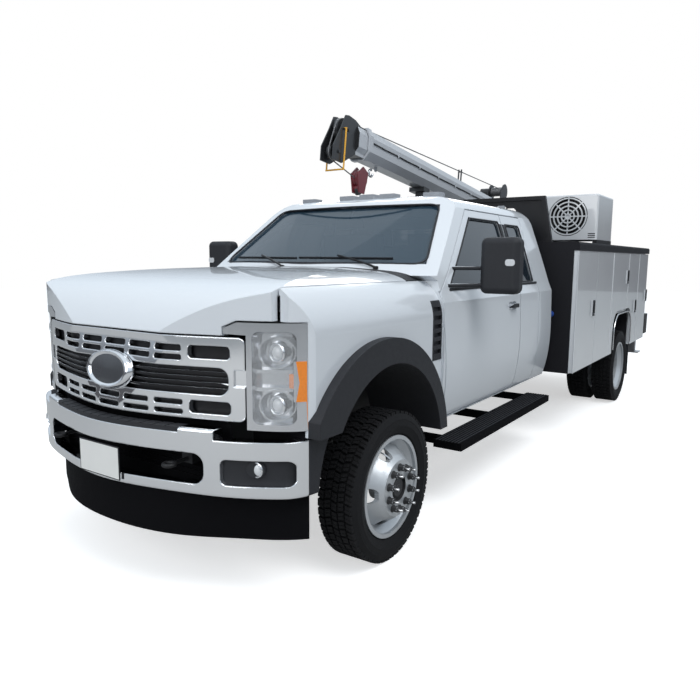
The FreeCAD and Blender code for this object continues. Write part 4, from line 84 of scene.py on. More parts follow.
# %% [markdown]
# The world is made of shader nodes, and a small helper adds a node and wires its inputs. The camera sees
# plain white, also through glass. Metal mirrors a bright sky with a dark horizon, because white all round
# would leave chrome without contrast, and a dimmer copy of that sky lights the truck.

# %% World light
scene = bpy.context.scene
scene.view_settings.view_transform = "Standard"
sky_light = 0.66
horizon, overhead = (0.10, 0.10, 0.11, 1.0), (0.84, 0.93, 1.0, 1.0)
sky_between = (
    (0.05, (0.12, 0.125, 0.135, 1.0)),
    (0.13, (0.55, 0.62, 0.70, 1.0)),
    (0.35, (0.76, 0.86, 0.96, 1.0)),
)


def wire(tree, node, wires=None, values=None):
    """Set values on a node's sockets, and wire to others an output or the first output of a node"""
    for socket, value in (values or {}).items():
        node.inputs[socket].default_value = value
    for socket, source in (wires or {}).items():
        tree.links.new(getattr(source, "outputs", [source])[0], node.inputs[socket])
    return node


def add_node(tree, kind, wires=None, values=None, **settings):
    """A new shader node with its settings made and its sockets wired"""
    node = tree.nodes.new("ShaderNode" + kind)
    for name, value in settings.items():
        setattr(node, name, value)
    return wire(tree, node, wires, values)


world = bpy.data.worlds.new("studio")
world.use_nodes = True
tree = world.node_tree
tree.nodes.clear()
path = add_node(tree, "LightPath")
seen = add_node(tree, "Math", {0: path.outputs["Is Camera Ray"], 1: path.outputs["Is Transmission Ray"]},
                operation="MAXIMUM")
white = add_node(tree, "Background", values={"Color": (1.0, 1.0, 1.0, 1.0), "Strength": 1.0})
height = add_node(tree, "SeparateXYZ", {0: add_node(tree, "TexCoord").outputs["Generated"]})
sky = add_node(tree, "ValToRGB", {0: height.outputs["Z"]})
stops = sky.color_ramp.elements
stops[0].position, stops[0].color = 0.0, horizon
stops[1].position, stops[1].color = 1.0, overhead
for position, shade in sky_between:
    stops.new(position).color = shade
dim = add_node(tree, "Background", {"Color": sky}, {"Strength": sky_light})
mirrored = add_node(tree, "Background", {"Color": sky}, {"Strength": 1.0})
shine = add_node(tree, "MixShader", {0: path.outputs["Is Glossy Ray"], 1: dim, 2: mirrored})
mix = add_node(tree, "MixShader", {0: seen, 1: shine, 2: white})
add_node(tree, "OutputWorld", {"Surface": mix})
scene.world = world
print("world of", len(tree.nodes), "nodes with", len(stops), "shades of sky")

# %% [markdown]
# Three large soft lamps shape the truck: a key lamp high on the left, one ahead for the grille and one
# behind for the body's top. Small lamps would draw hard shadows.

# %% Soft lamps
lamps = (
    ("key_lamp", (4.0, 6.0, 9.5), (0.0, 0.3, 1.0), 6.0, 560.0),
    ("front_lamp", (11.0, 0.0, 4.5), (2.0, 0.0, 1.0), 5.0, 260.0),
    ("back_lamp", (-8.0, -5.0, 6.0), (0.0, 0.0, 1.5), 6.0, 300.0),
)


def area_lamp(name, place, target, size, power):
    """Square soft lamp turned towards a target"""
    data = bpy.data.lights.new(name, "AREA")
    data.shape = "SQUARE"
    data.size = size
    data.energy = power
    lamp = bpy.data.objects.new(name, data)
    way = Vector(target) - Vector(place)
    lamp.matrix_world = Matrix.Translation(place) @ way.to_track_quat("-Z", "Y").to_matrix().to_4x4()
    scene.collection.objects.link(lamp)


for lamp in lamps:
    area_lamp(*lamp)
print("lamps", [lamp[0] for lamp in lamps])

# %% [markdown]
# The floor is one plane, so wide that its edge lies far behind the truck. Operators act on all that is
# selected, so everything is deselected before each new piece.

# %% Floor
floor_half = 30.0


def deselect():
    """Leave edit mode and select nothing"""
    if bpy.context.mode != "OBJECT":
        bpy.ops.object.mode_set(mode="OBJECT")
    bpy.ops.object.select_all(action="DESELECT")


deselect()
bpy.ops.mesh.primitive_plane_add(size=floor_half * 2)
floor = bpy.context.active_object
floor.name = "floor"
print("floor", floor_half * 2, "m wide")

# %% [markdown]
# Each finish is one material made of shader nodes. They read Object coordinates, so that a grain or a
# speckle keeps its scale on every piece that shares the finish. Paint drifts a little in colour and in
# gloss, moulded plastic has a fine grain, and cast metal a coarse one. A Bevel node softens the edges of
# pressed and plated sheet, so that they catch the light.

# %% Paints


def finish_of(name, colour, rough, metal=0.0, coat=0.0, speckle=(40.0, 0.04), grain=(300.0, 0.0), glow=0.0,
              edge=0.0, gloss=0.5):
    """Finish whose colour and roughness drift with a noise; speckle and grain are scale and strength"""
    material = bpy.data.materials.new(name)
    material.use_nodes = True
    tree = material.node_tree
    shader = tree.nodes["Principled BSDF"]
    place = add_node(tree, "TexCoord").outputs["Object"]
    noise = add_node(tree, "TexNoise", {"Vector": place}, {"Scale": speckle[0], "Detail": 6.0})
    darker = tuple(c * (1 - speckle[1]) for c in colour) + (1.0,)
    lighter = tuple(min(c * (1 + speckle[1]), 1.0) for c in colour) + (1.0,)
    tint = add_node(tree, "MixRGB", {0: noise}, {1: darker, 2: lighter})
    spread = add_node(tree, "MapRange", {"Value": noise},
                      {"To Min": max(rough * 0.85, 0.02), "To Max": min(rough * 1.15, 1.0)})
    wire(tree, shader, {"Base Color": tint, "Roughness": spread},
         {"Metallic": metal, "Coat Weight": coat, "Coat Roughness": 0.04, "Specular IOR Level": gloss})
    if glow:
        wire(tree, shader, {"Emission Color": tint}, {"Emission Strength": glow})
    if edge:
        soft = add_node(tree, "Bevel", values={"Radius": edge / 1000}, samples=4)
        wire(tree, shader, {"Normal": soft})
    if grain[1] > 0:
        fine = add_node(tree, "TexNoise", {"Vector": place}, {"Scale": grain[0], "Detail": 3.0})
        bump = add_node(tree, "Bump", {"Height": fine}, {"Strength": grain[1], "Distance": 0.002})
        if edge:
            wire(tree, bump, {"Normal": soft})
        wire(tree, shader, {"Normal": bump})
    return material


white_paint = finish_of("white_paint", (0.68, 0.715, 0.755), 0.22, coat=0.8, speckle=(2.0, 0.015), edge=6)
body_white = finish_of("body_white", (0.67, 0.69, 0.715), 0.2, coat=1.0, speckle=(3.0, 0.03), edge=4)
crane_grey = finish_of("crane_grey", (0.46, 0.48, 0.51), 0.3, coat=0.4, speckle=(5.0, 0.04), grain=(90.0, 0.04))
crane_black = finish_of("crane_black", (0.018, 0.019, 0.021), 0.35, coat=0.2, speckle=(10.0, 0.15),
                        grain=(120.0, 0.08))
hook_red = finish_of("hook_red", (0.16, 0.018, 0.026), 0.35, coat=0.3, speckle=(18.0, 0.15))
guard_yellow = finish_of("guard_yellow", (0.72, 0.36, 0.02), 0.4, coat=0.2, speckle=(20.0, 0.1))
plate_white = finish_of("plate_white", (0.82, 0.82, 0.8), 0.35, coat=0.3, speckle=(9.0, 0.03))
emblem_plain = finish_of("emblem_plain", (0.045, 0.048, 0.055), 0.25, coat=0.8, speckle=(9.0, 0.1))
print("materials, with the paints", len(bpy.data.materials))

# %% [markdown]
# Plastic, rubber and coated steel are all black, and one black for all would flatten the picture. So each
# gets its own roughness, gloss and grain. Cloth and hose are made the same way.

# %% Plastic, rubber and cloth
black_plastic = finish_of("black_plastic", (0.019, 0.020, 0.024), 0.6, grain=(900.0, 0.35), edge=5, gloss=0.35)
satin_black = finish_of("satin_black", (0.009, 0.009, 0.011), 0.45, speckle=(12.0, 0.1), grain=(220.0, 0.12),
                        gloss=0.25)
matt_black = finish_of("matt_black", (0.005, 0.005, 0.006), 0.8, speckle=(40.0, 0.2), grain=(420.0, 0.4),
                       gloss=0.05)
liner_black = finish_of("liner_black", (0.010, 0.010, 0.013), 0.75, speckle=(60.0, 0.3), grain=(160.0, 0.8),
                        gloss=0.25)
frame_black = finish_of("frame_black", (0.010, 0.010, 0.011), 0.5, speckle=(14.0, 0.2), grain=(260.0, 0.15),
                        gloss=0.3)
tyre_rubber = finish_of("tyre_rubber", (0.0085, 0.0085, 0.0095), 0.75, speckle=(30.0, 0.25),
                        grain=(700.0, 0.3), gloss=0.2)
seat_cloth = finish_of("seat_cloth", (0.075, 0.077, 0.085), 0.85, speckle=(200.0, 0.2), grain=(1200.0, 0.5))
dash_grain = finish_of("dash_grain", (0.03, 0.03, 0.033), 0.7, grain=(800.0, 0.4))
blue_hose = finish_of("blue_hose", (0.01, 0.07, 0.36), 0.4, speckle=(60.0, 0.15), grain=(400.0, 0.2))
print("with plastic and rubber", len(bpy.data.materials))

# %% [markdown]
# Metals differ in how sharply they mirror. Chrome and mirror glass are almost smooth, lacquer dulls the
# wheels, and rope and castings have a coarse grain that breaks the reflection up.

# %% Metals
chrome = finish_of("chrome", (0.80, 0.81, 0.83), 0.06, metal=1.0, speckle=(6.0, 0.02), edge=9)
wheel_silver = finish_of("wheel_silver", (0.52, 0.54, 0.56), 0.4, metal=0.55, coat=0.2, grain=(500.0, 0.08))
cast_metal = finish_of("cast_metal", (0.05, 0.05, 0.052), 0.6, metal=0.5, speckle=(25.0, 0.3), grain=(320.0, 0.4))
steel_leg = finish_of("steel_leg", (0.5, 0.5, 0.51), 0.35, metal=0.9, grain=(400.0, 0.1))
bright_steel = finish_of("bright_steel", (0.66, 0.66, 0.67), 0.2, metal=1.0, speckle=(40.0, 0.08))
rope_steel = finish_of("rope_steel", (0.2, 0.2, 0.205), 0.5, metal=0.8, speckle=(900.0, 0.4), grain=(900.0, 0.6))
pipe_steel = finish_of("pipe_steel", (0.3, 0.29, 0.27), 0.45, metal=0.85, speckle=(12.0, 0.25),
                       grain=(200.0, 0.15))
mirror_silver = finish_of("mirror_silver", (0.85, 0.86, 0.87), 0.03, metal=1.0, speckle=(4.0, 0.01))
lamp_silver = finish_of("lamp_silver", (0.62, 0.63, 0.65), 0.16, metal=0.9, speckle=(14.0, 0.06))
print("with metals", len(bpy.data.materials))

# %% [markdown]
# Glass could be made with real refraction. A thin pane shows little of it, so a glossy surface that lets
# part of the light straight through is enough, and less noisy. Lenses are coloured plastic under a clear
# coat, and a faint glow stands for the light that they gather inside.

# %% Lenses and glass


def glass_of(name, colour, alpha):
    """Tinted pane: part of the light passes through, the rest is a smooth reflecting surface"""
    material = finish_of(name, colour, 0.02, coat=0.6, speckle=(3.0, 0.05))
    material.node_tree.nodes["Principled BSDF"].inputs["Alpha"].default_value = alpha
    return material


amber_lens = finish_of("amber_lens", (0.75, 0.21, 0.01), 0.15, coat=0.8, speckle=(90.0, 0.15), glow=0.12)
red_lens = finish_of("red_lens", (0.42, 0.008, 0.01), 0.15, coat=0.8, speckle=(90.0, 0.15), glow=0.08)
clear_lens = finish_of("clear_lens", (0.72, 0.74, 0.76), 0.12, coat=0.8, speckle=(120.0, 0.1))
cab_pane = glass_of("cab_pane", (0.03, 0.065, 0.10), 0.6)
dark_pane = glass_of("dark_pane", (0.012, 0.022, 0.032), 0.8)
lamp_pane = glass_of("lamp_pane", (0.78, 0.8, 0.82), 0.16)
print("with lenses and glass", len(bpy.data.materials))

# %% [markdown]
# The floor is white to the camera and through glass, and plain grey paper to the light, so the picture
# has a white ground and the truck still throws its soft shadow on it. Mirrors get a share of the white.

# %% Floor finish
floor_glow = 0.56
mirrored_share = 0.15
ground_pale = finish_of("ground_pale", (0.30, 0.30, 0.295), 0.9, speckle=(0.5, 0.04))
tree = ground_pale.node_tree
path = add_node(tree, "LightPath")
paper = add_node(tree, "BsdfDiffuse", values={"Color": (0.86, 0.86, 0.86, 1.0)})
glow = add_node(tree, "Emission", values={"Strength": floor_glow})
bright = add_node(tree, "AddShader", {0: paper, 1: glow})
in_mirrors = add_node(tree, "Math", {0: path.outputs["Is Glossy Ray"]}, {1: mirrored_share},
                      operation="MULTIPLY")
seen = add_node(tree, "Math", {0: path.outputs["Is Camera Ray"], 1: path.outputs["Is Transmission Ray"]},
                operation="MAXIMUM")
either = add_node(tree, "Math", {0: in_mirrors, 1: seen}, operation="MAXIMUM")
choice = add_node(tree, "MixShader", {0: either, 1: tree.nodes["Principled BSDF"], 2: bright})
wire(tree, tree.nodes["Material Output"], {"Surface": choice})
floor.data.materials.append(ground_pale)
print("floor finish of", len(tree.nodes), "nodes")

# %% [markdown]
# The truck's own pieces keep their meshes and only get a finish. It could be given piece by piece. A table
# from each finish to its pieces shows at a glance what looks alike. SIDE stands for left and for right.

# %% Finishes on the model's own pieces
finish_of_node = {
    white_paint: ["front_fenders", "hood", "cab_shell", "front_door_SIDE", "rear_door_SIDE"],
    body_white: ["body_compartments", "tailgate", "compressor", "body_door_a_SIDE", "body_door_b_SIDE",
                 "body_door_c_SIDE", "body_door_d_SIDE", "body_door_e_SIDE"],
    black_plastic: ["splash_guards", "fuel_tank"],
    satin_black: ["headache_rack", "rear_bumper"],
    matt_black: ["running_boards"],
    liner_black: ["body_deck"],
    chrome: ["front_bumper", "grille", "lift_rod"],
    frame_black: ["chassis_frame"],
    cast_metal: ["engine", "front_axle", "rear_axle", "knuckle_SIDE"],
    pipe_steel: ["exhaust"],
    crane_grey: ["crane_mast", "boom"],
    crane_black: ["crane_base", "boom_extension", "lift_cylinder", "winch"],
    hook_red: ["hook_block"],
    seat_cloth: ["cab_interior"],
    cab_pane: ["cab_glass"],
    dark_pane: ["front_door_glass_SIDE", "rear_door_glass_SIDE"],
    lamp_silver: ["headlamps"],
    steel_leg: ["stabiliser_SIDE"],
    tyre_rubber: ["tyre_front_SIDE", "tyres_rear_SIDE"],
    wheel_silver: ["wheel_front_SIDE", "wheels_rear_SIDE"],
}
sides = (("left", 1), ("right", -1))
dressed = 0
for material, names in finish_of_node.items():
    for node in sorted({name.replace("SIDE", side) for name in names for side, sign in sides}):
        nodes[node].data.materials.clear()
        nodes[node].data.materials.append(material)
        dressed += 1
print("pieces with a finish", dressed, "of", len(nodes))

# %% [markdown]
# A piece made of several materials, such as a door with its mirror, could be cut apart. It is enough to
# give a second finish to the triangles whose middles lie inside a box, or pass a test. The nose is one
# curved surface, so there the test is how deep a triangle lies below it: its plan gives the surface in X
# for each Y, and its lean for each Z.

# %% Grille bars and emblem
anywhere = (-9e3, 9e3)
nose_plan = ((0, 965), (300, 925), (608, 838), (745, 790), (885, 725), (975, 648), (1000, 450))
nose_front, nose_foot, lean_run, lean_rise = 965, 884, 60, 332


def truck(x, y, z):
    """A point in millimetres forward, left and up from the front axle's middle on the ground"""
    return Vector((x / 1000 + front_axle_x, y / 1000, z / 1000))


def paint(node, material, x=anywhere, y=anywhere, z=anywhere, facing=None, test=None):
    """Second finish for the triangles of a node whose middles lie in a box, face a way or pass a test"""
    mesh = nodes[node].data
    if material.name not in mesh.materials:
        mesh.materials.append(material)
    slot = list(mesh.materials).index(material)
    low, high = truck(x[0], y[0], z[0]), truck(x[1], y[1], z[1])
    count = 0
    for polygon in mesh.polygons:
        middle = polygon.center
        if not all(low[i] <= middle[i] <= high[i] for i in range(3)):
            continue
        if facing and polygon.normal.dot(Vector(facing)) < 0.7:
            continue
        if test and not test((middle.x - front_axle_x) * 1000, middle.y * 1000, middle.z * 1000):
            continue
        polygon.material_index = slot
        count += 1
    print("painted", count, "triangles of", node, "in", material.name)


def along_plan(plan, y):
    """Height of a smooth plan curve at Y, by a cubic through its points"""
    y = min(abs(y), plan[-1][0] - 0.01)
    spot = max(i for i in range(len(plan) - 1) if plan[i][0] <= y)

    def slope(i):
        low, high = max(i - 1, 0), min(i + 1, len(plan) - 1)
        return 0.0 if i == 0 else (plan[high][1] - plan[low][1]) / (plan[high][0] - plan[low][0])

    (y0, x0), (y1, x1) = plan[spot], plan[spot + 1]
    width = y1 - y0
    t = (y - y0) / width
    return (x0 * (2 * t ** 3 - 3 * t ** 2 + 1) + slope(spot) * width * (t ** 3 - 2 * t ** 2 + t)
            + x1 * (3 * t ** 2 - 2 * t ** 3) + slope(spot + 1) * width * (t ** 3 - t ** 2))


def nose_x(y, z):
    """Front of the nose at a height, where its plan or its lean comes first"""
    return min(along_plan(nose_plan, y), nose_front - lean_run * (z - nose_foot) / lean_rise)


paint("grille", satin_black, test=lambda x, y, z: x < nose_x(y, z) - 29)
paint("grille", satin_black, y=(-655, 655), z=(985, 1135), facing=(1, 0, 0),
      test=lambda x, y, z: x < nose_x(y, z) - 2 and abs(y) > 152)
paint("grille", emblem_plain, y=(-151, 151), z=(974, 1146), test=lambda x, y, z: x > nose_x(y, z) + 3)

# %% [markdown]
# The headlamps are one mesh, and their covers are clear. A box can't tell a cover from the housing behind
# it, so the mesh is sorted into parts whose triangles share corners. The covers are the parts that keep
# between two distances from the truck's middle, and the amber markers lie outside them.

# %% Headlamp covers and markers
cover_inner, cover_outer = 770, 955


def loose_parts(mesh):
    """Triangle numbers of each part of a mesh, sorted by the corners that triangles share"""
    key = {}
    same = [key.setdefault(tuple(round(c, 5) for c in v.co), i) for i, v in enumerate(mesh.vertices)]
    root = list(range(len(mesh.vertices)))

    def top(i):
        while root[i] != i:
            root[i] = root[root[i]]
            i = root[i]
        return i

    for polygon in mesh.polygons:
        first = top(same[polygon.vertices[0]])
        for corner in polygon.vertices[1:]:
            root[top(same[corner])] = first
    parts = {}
    for polygon in mesh.polygons:
        parts.setdefault(top(same[polygon.vertices[0]]), []).append(polygon.index)
    return list(parts.values())


def span(sign, near, far):
    """Limits in Y between two distances from the middle, on the left (1) or the right (-1)"""
    return sorted((sign * near, sign * far))


lamp_mesh = nodes["headlamps"].data
lamp_mesh.materials.append(lamp_pane)
pane_slot = list(lamp_mesh.materials).index(lamp_pane)
covers = 0
for part in loose_parts(lamp_mesh):
    ys = [abs(lamp_mesh.polygons[i].center.y) * 1000 for i in part]
    if min(ys) > cover_inner and max(ys) < cover_outer:
        covers += 1
        for i in part:
            lamp_mesh.polygons[i].material_index = pane_slot
print("clear parts of the headlamps", covers)
for side, sign in sides:
    paint("headlamps", amber_lens, x=(643, 685), y=span(sign, cover_outer, 1100), z=(971, 1153))

# %% [markdown]
# The bumper is bright, but its slots, its back and the air dam below are dark. The plate's place gets
# plain white. Like the nose, the bumper is curved, so depth below its plan finds its back.

# %% Bumper and air dam
bumper_plan = ((0, 1026), (430, 955), (740, 850), (880, 770), (955, 705), (984, 640), (996, 560), (1000, 470))
paint("front_bumper", frame_black, x=(740, 1012), z=(620, 706), test=lambda x, y, z: abs(abs(y) - 430) < 40)
paint("front_bumper", frame_black, test=lambda x, y, z: x < along_plan(bumper_plan, y) - 62)
paint("splash_guards", matt_black, x=(560, 1030), z=(300, 534))
paint("front_bumper", plate_white, x=(1026.5, 1040), y=(-151, 151), z=(554, 708))

# %% [markdown]
# The cab's mirrors, handles, roof lamps and the panel under the windshield are moulded in black or plated,
# and each lies clear of the painted sheet, so a box finds it.

# %% Mirrors, handles, cowl and roof lamps
roof_lamp_ys = (0, 182, -182, 547, -547)
for side, sign in sides:
    door = "front_door_" + side
    paint(door, black_plastic, y=span(sign, 1014, 1400), z=(1300, 1800))
    paint(door, black_plastic, y=span(sign, 986, 1400), z=(1524, 1562))
    paint(door, black_plastic, x=(-1860, -1730), y=span(sign, 1016, 1100), z=(1235, 1285))
    paint(door, mirror_silver, x=(-1083.5, -1080), y=span(sign, 1100, 1320))
    paint(door, clear_lens, x=(-961, -950), y=span(sign, 1254, 1316), z=(1558, 1602))
paint("front_fenders", black_plastic, x=(-640, -437), y=(-870, 870), z=(1400, 1560))
for y in roof_lamp_ys:
    paint("cab_shell", lamp_silver, x=(-1427, -1328), y=(y - 63, y + 63), z=(2022, 2100))
paint("cab_interior", dash_grain, x=(-1400, -690))

# %% [markdown]
# The body's top and its front wall are coated against wear, and so are the linings of the wheel arches.
# The compressor is painted like the body, and the openings in its front are dark.

# %% Body and compressor
arch_front, arch_rear = -4437, -5353
paint("body_compartments", liner_black, x=(-2883, -2870), facing=(1, 0, 0))
paint("body_compartments", liner_black, z=(1686.5, 1770))
for side, sign in sides:
    paint("body_compartments", liner_black, x=(-5360, -4430), y=span(sign, 700, 1186), z=(590, 1046),
          test=lambda x, y, z: arch_rear < x < arch_front and z < 1017)
paint("compressor", satin_black, x=(-3799, -3797), facing=(1, 0, 0))
paint("compressor", satin_black, x=(-3770, -3755), z=(1800, 1860), facing=(1, 0, 0))
paint("compressor", satin_black, z=(1750, 1800.5))

# %% [markdown]
# The boom lies at a slope, and boxes along the truck's own axes would cut across it. So points are measured
# along, across and above the boom from its pin. The guard at its head is yellow, the sliding beam is grey,
# and the hook and all rope are steel.

# %% Crane
boom_slope = math.radians(6.86)
boom_pin = (-6050, -900, 2290)
drum_along, drum_up = -180, 316


def on_boom(along, across, up):
    """A point in millimetres along, across and above the boom, from its pin"""
    return truck(boom_pin[0] + along * math.cos(boom_slope) - up * math.sin(boom_slope), boom_pin[1] + across,
                 boom_pin[2] + along * math.sin(boom_slope) + up * math.cos(boom_slope))


def from_boom(x, y, z):
    """How far along, across and above the boom a point lies"""
    x, y, z = x - boom_pin[0], y - boom_pin[1], z - boom_pin[2]
    return (x * math.cos(boom_slope) + z * math.sin(boom_slope), y,
            z * math.cos(boom_slope) - x * math.sin(boom_slope))


def boom_box(along, across, up):
    """Test for points in a box that lies along the boom"""
    limits = (along, across, up)
    return lambda x, y, z: all(low <= v <= high for v, (low, high) in zip(from_boom(x, y, z), limits))


def on_drum(x, y, z):
    """Test for points on the rope that lies round the winch's drum"""
    along, across, up = from_boom(x, y, z)
    return abs(across) < 91 and 56 < math.hypot(along - drum_along, up - drum_up) < 66


for node, material, along, across, up in (
        ("boom_extension", guard_yellow, (3845, 3876), (-115, -89), (-345, 56)),
        ("boom_extension", guard_yellow, (3845, 3876), (89, 115), (-345, 56)),
        ("boom_extension", guard_yellow, (3845, 3876), (-115, 115), (-345, -318)),
        ("boom_extension", crane_grey, (900, 3645), (-130, 130), (-130, 130)),
        ("hook_block", rope_steel, (3537, 4100), (-8, 8), (-340, -180)),
        ("hook_block", bright_steel, (3150, 3375), (-16, 16), (-330, -150)),
        ("winch", rope_steel, (-102, 3510), (-8, 8), (160, 380))):
    paint(node, material, test=boom_box(along, across, up))
paint("winch", rope_steel, test=on_drum)

# %% [markdown]
# A wheel is lacquered, and the hub in its middle is bare casting. Both wheels of an axle share its centre,
# so the hub is what lies within a radius of it, outwards from the wheel's plate.

# %% Hubs
rear_axle_x, axle_z = -4877, 403
for side, sign in sides:
    for node, axle_x, hub_y, radius in (("wheel_front_" + side, 0, 1055, 71),
                                        ("wheels_rear_" + side, rear_axle_x, 941, 90)):
        paint(node, cast_metal, y=span(sign, hub_y, 1300),
              test=lambda x, y, z: math.hypot(x - axle_x, z - axle_z) < radius)

# %% [markdown]
# Now the new pieces. A tyre has a bulging wall with two thin rings, and a flat crown. A torus would be too
# round, so a circle is drawn out ring by ring through the points of the real section, as on a lathe, and
# the last ring closes on the first.

# %% Tyre carcass
tyre_half = (
    (-88, 262), (-88, 276), (-94, 284), (-99, 286), (-106, 306), (-112, 324), (-113.5, 325), (-113.5, 328),
    (-112.5, 331), (-113, 342), (-111, 356), (-112, 357), (-112, 360), (-109, 363), (-104, 380), (-97, 390),
)
tyre_profile = tyre_half + tuple((-d, r) for d, r in reversed(tyre_half)) + (tyre_half[0],)
turn_to = {"x": Matrix.Rotation(math.radians(90), 4, "Y"), "y": Matrix.Rotation(math.radians(-90), 4, "X"),
           "z": Matrix.Identity(4)}


def turned(profile, place, axis, steps=40):
    """Lathe: a circle drawn out ring by ring through (distance, radius) pairs in millimetres"""
    deselect()
    bpy.ops.mesh.primitive_circle_add(vertices=steps, radius=profile[0][1] / 1000)
    piece = bpy.context.active_object
    bpy.ops.object.mode_set(mode="EDIT")
    bpy.ops.mesh.select_mode(type="VERT")
    bpy.ops.mesh.select_all(action="SELECT")
    bpy.ops.transform.translate(value=(0, 0, profile[0][0] / 1000))
    for (near, small), (far, large) in zip(profile, profile[1:]):
        bpy.ops.mesh.extrude_region_move(TRANSFORM_OT_translate={"value": (0, 0, (far - near) / 1000)})
        if large != small:
            bpy.ops.transform.resize(value=(large / small, large / small, 1), center_override=(0, 0, 0))
    bpy.ops.mesh.select_all(action="SELECT")
    bpy.ops.mesh.remove_doubles(threshold=0.00005)
    bpy.ops.mesh.normals_make_consistent(inside=False)
    bpy.ops.object.mode_set(mode="OBJECT")
    piece.data.transform(Matrix.Translation(place) @ turn_to[axis])
    return piece


hub = truck(0, 0, axle_z)
carcass = turned(tyre_profile, hub, "y", steps=96)
print("faces in the carcass", len(carcass.data.polygons))

# %% [markdown]
# The tread is five ribs of blocks, each slit across its middle. A bump in the material would not show at
# the tyre's edge, so each block is real: a cube on the crown, 12 mm high, narrowed at its top and skewed
# across the tread. Only one pitch of ten is modelled, at the top of the tyre.

# %% One pitch of tread
tread_foot, tread_top = 387, 402.4
tread_ribs = ((-99, -64, 9), (-57, -22, -7), (-15, 15, 8), (22, 57, -7), (64, 99, 9))


def block(x, y, z, bevel=0.0, steps=2):
    """Block between limits in millimetres, its edges rounded"""
    low, high = truck(min(x), min(y), min(z)), truck(max(x), max(y), max(z))
    deselect()
    bpy.ops.mesh.primitive_cube_add(size=1.0, location=(low + high) / 2, scale=high - low)
    bpy.ops.object.transform_apply(location=True, rotation=True, scale=True)
    if bevel:
        bpy.ops.object.mode_set(mode="EDIT")
        bpy.ops.mesh.select_all(action="SELECT")
        bpy.ops.mesh.bevel(offset=bevel / 1000, segments=steps)
        bpy.ops.object.mode_set(mode="OBJECT")
    return bpy.context.active_object


def pick(piece, kind, test):
    """Edit mode with only the corners (VERT) or faces (FACE) selected that pass a test"""
    bpy.ops.object.mode_set(mode="EDIT")
    bpy.ops.mesh.select_mode(type=kind)
    bpy.ops.mesh.select_all(action="DESELECT")
    bpy.ops.object.mode_set(mode="OBJECT")
    for item in piece.data.vertices if kind == "VERT" else piece.data.polygons:
        item.select = test(item)
    bpy.ops.object.mode_set(mode="EDIT")


def tread_block(near, far, x, reach, lean):
    """One tread block at the top of the tyre"""
    piece = block((x, x + reach), (near, far), (axle_z + tread_foot, axle_z + tread_top))
    middle = truck(x + reach / 2 + lean / 2, (near + far) / 2, axle_z + 402)
    pick(piece, "VERT", lambda corner: corner.co.y > (near + far) / 2000)
    bpy.ops.transform.translate(value=(lean / 1000, 0, 0))
    pick(piece, "VERT", lambda corner: corner.co.z > 0.8)
    bpy.ops.transform.resize(value=(0.93, 0.93, 1.0), center_override=middle)
    bpy.ops.object.mode_set(mode="OBJECT")
    return piece


def select_only(pieces):
    """Select these pieces and no others, with the first of them active"""
    deselect()
    for piece in pieces:
        piece.select_set(True)
    bpy.context.view_layer.objects.active = pieces[0]


def joined(pieces):
    """Several meshes made one"""
    select_only(pieces)
    bpy.ops.object.join()
    return bpy.context.active_object


tread = joined([tread_block(near, far, x, 18, lean) for near, far, lean in tread_ribs for x in (-19, 0.5)])
print("faces in one pitch of tread", len(tread.data.polygons))

# %% [markdown]
# Repeating the pitch by hand would take 51 turns and copies. An Array does it in one step: its offset is
# an empty object that stands one pitch further round the wheel.

# %% Tread round the wheel
tread_pitches = 52
turn = Matrix.Translation(hub) @ Matrix.Rotation(2 * math.pi / tread_pitches, 4, "Y") @ Matrix.Translation(-hub)
step = bpy.data.objects.new("tread_step", None)
scene.collection.objects.link(step)
step.matrix_world = turn
bpy.context.view_layer.update()
array = tread.modifiers.new("round_the_wheel", "ARRAY")
array.count = tread_pitches
array.use_relative_offset = False
array.use_object_offset = True
array.offset_object = step
select_only([tread])
bpy.ops.object.modifier_apply(modifier=array.name)
bpy.data.objects.remove(step)
one_tyre = joined([carcass, tread])
one_tyre.data.materials.append(tyre_rubber)
print("triangles in a tyre", sum(len(p.vertices) - 2 for p in one_tyre.data.polygons))

# %% [markdown]
# The tyre is copied to the front wheels and, in pairs, to the rear ones. Each copy rides on its wheel's
# body, so that it rolls and steers with it, and takes the place of the model's plain tyre.

# %% Six tyres
front_tyre_y, rear_tyre_ys = 0.95, (0.804, 1.076)
sharp_edge = math.radians(35)


def copied(piece, place):
    """Another of the same piece with a mesh of its own, moved by a matrix"""
    twin = piece.copy()
    twin.data = piece.data.copy()
    scene.collection.objects.link(twin)
    twin.data.transform(place)
    if place.determinant() < 0:
        twin.data.flip_normals()
    return twin


def set_up(piece, name, body, material=None):
    """Name, body and finish of a finished piece, with soft shading except over its sharp edges"""
    piece.name = name
    piece.data.name = name
    select_only([piece])
    bpy.ops.object.shade_smooth_by_angle(angle=sharp_edge)
    if material:
        piece.data.materials.append(material)
    if body:
        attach(piece, body)
    print(name, "has", len(piece.data.polygons), "faces")
    return piece


for side, sign in sides:
    front = copied(one_tyre, Matrix.Translation((0, sign * front_tyre_y, 0)))
    set_up(front, "tread_front_" + side, "front_wheel_" + side)
    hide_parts("tyre_front_" + side)
    pair = [copied(one_tyre, Matrix.Translation((rear_axle_x / 1000, sign * y, 0))) for y in rear_tyre_ys]
    rear = set_up(joined(pair), "tread_rear_" + side, "rear_wheels_" + side)
    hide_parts("tyres_rear_" + side)
bpy.data.objects.remove(one_tyre)

# %% [markdown]
# Ten hexagon nuts hold each wheel, with bright stud ends that stand out of them. A nut is a turned piece
# with six sides and a round flange below it, the stud a turned pin with a chamfered end.

# %% Wheel nuts
nut_circle, nut_count = 112.5, 10
front_face, rear_face = 1086, 952


def coated(piece, material):
    """The piece with a finish of its own, before it is joined to others"""
    piece.data.materials.append(material)
    return piece


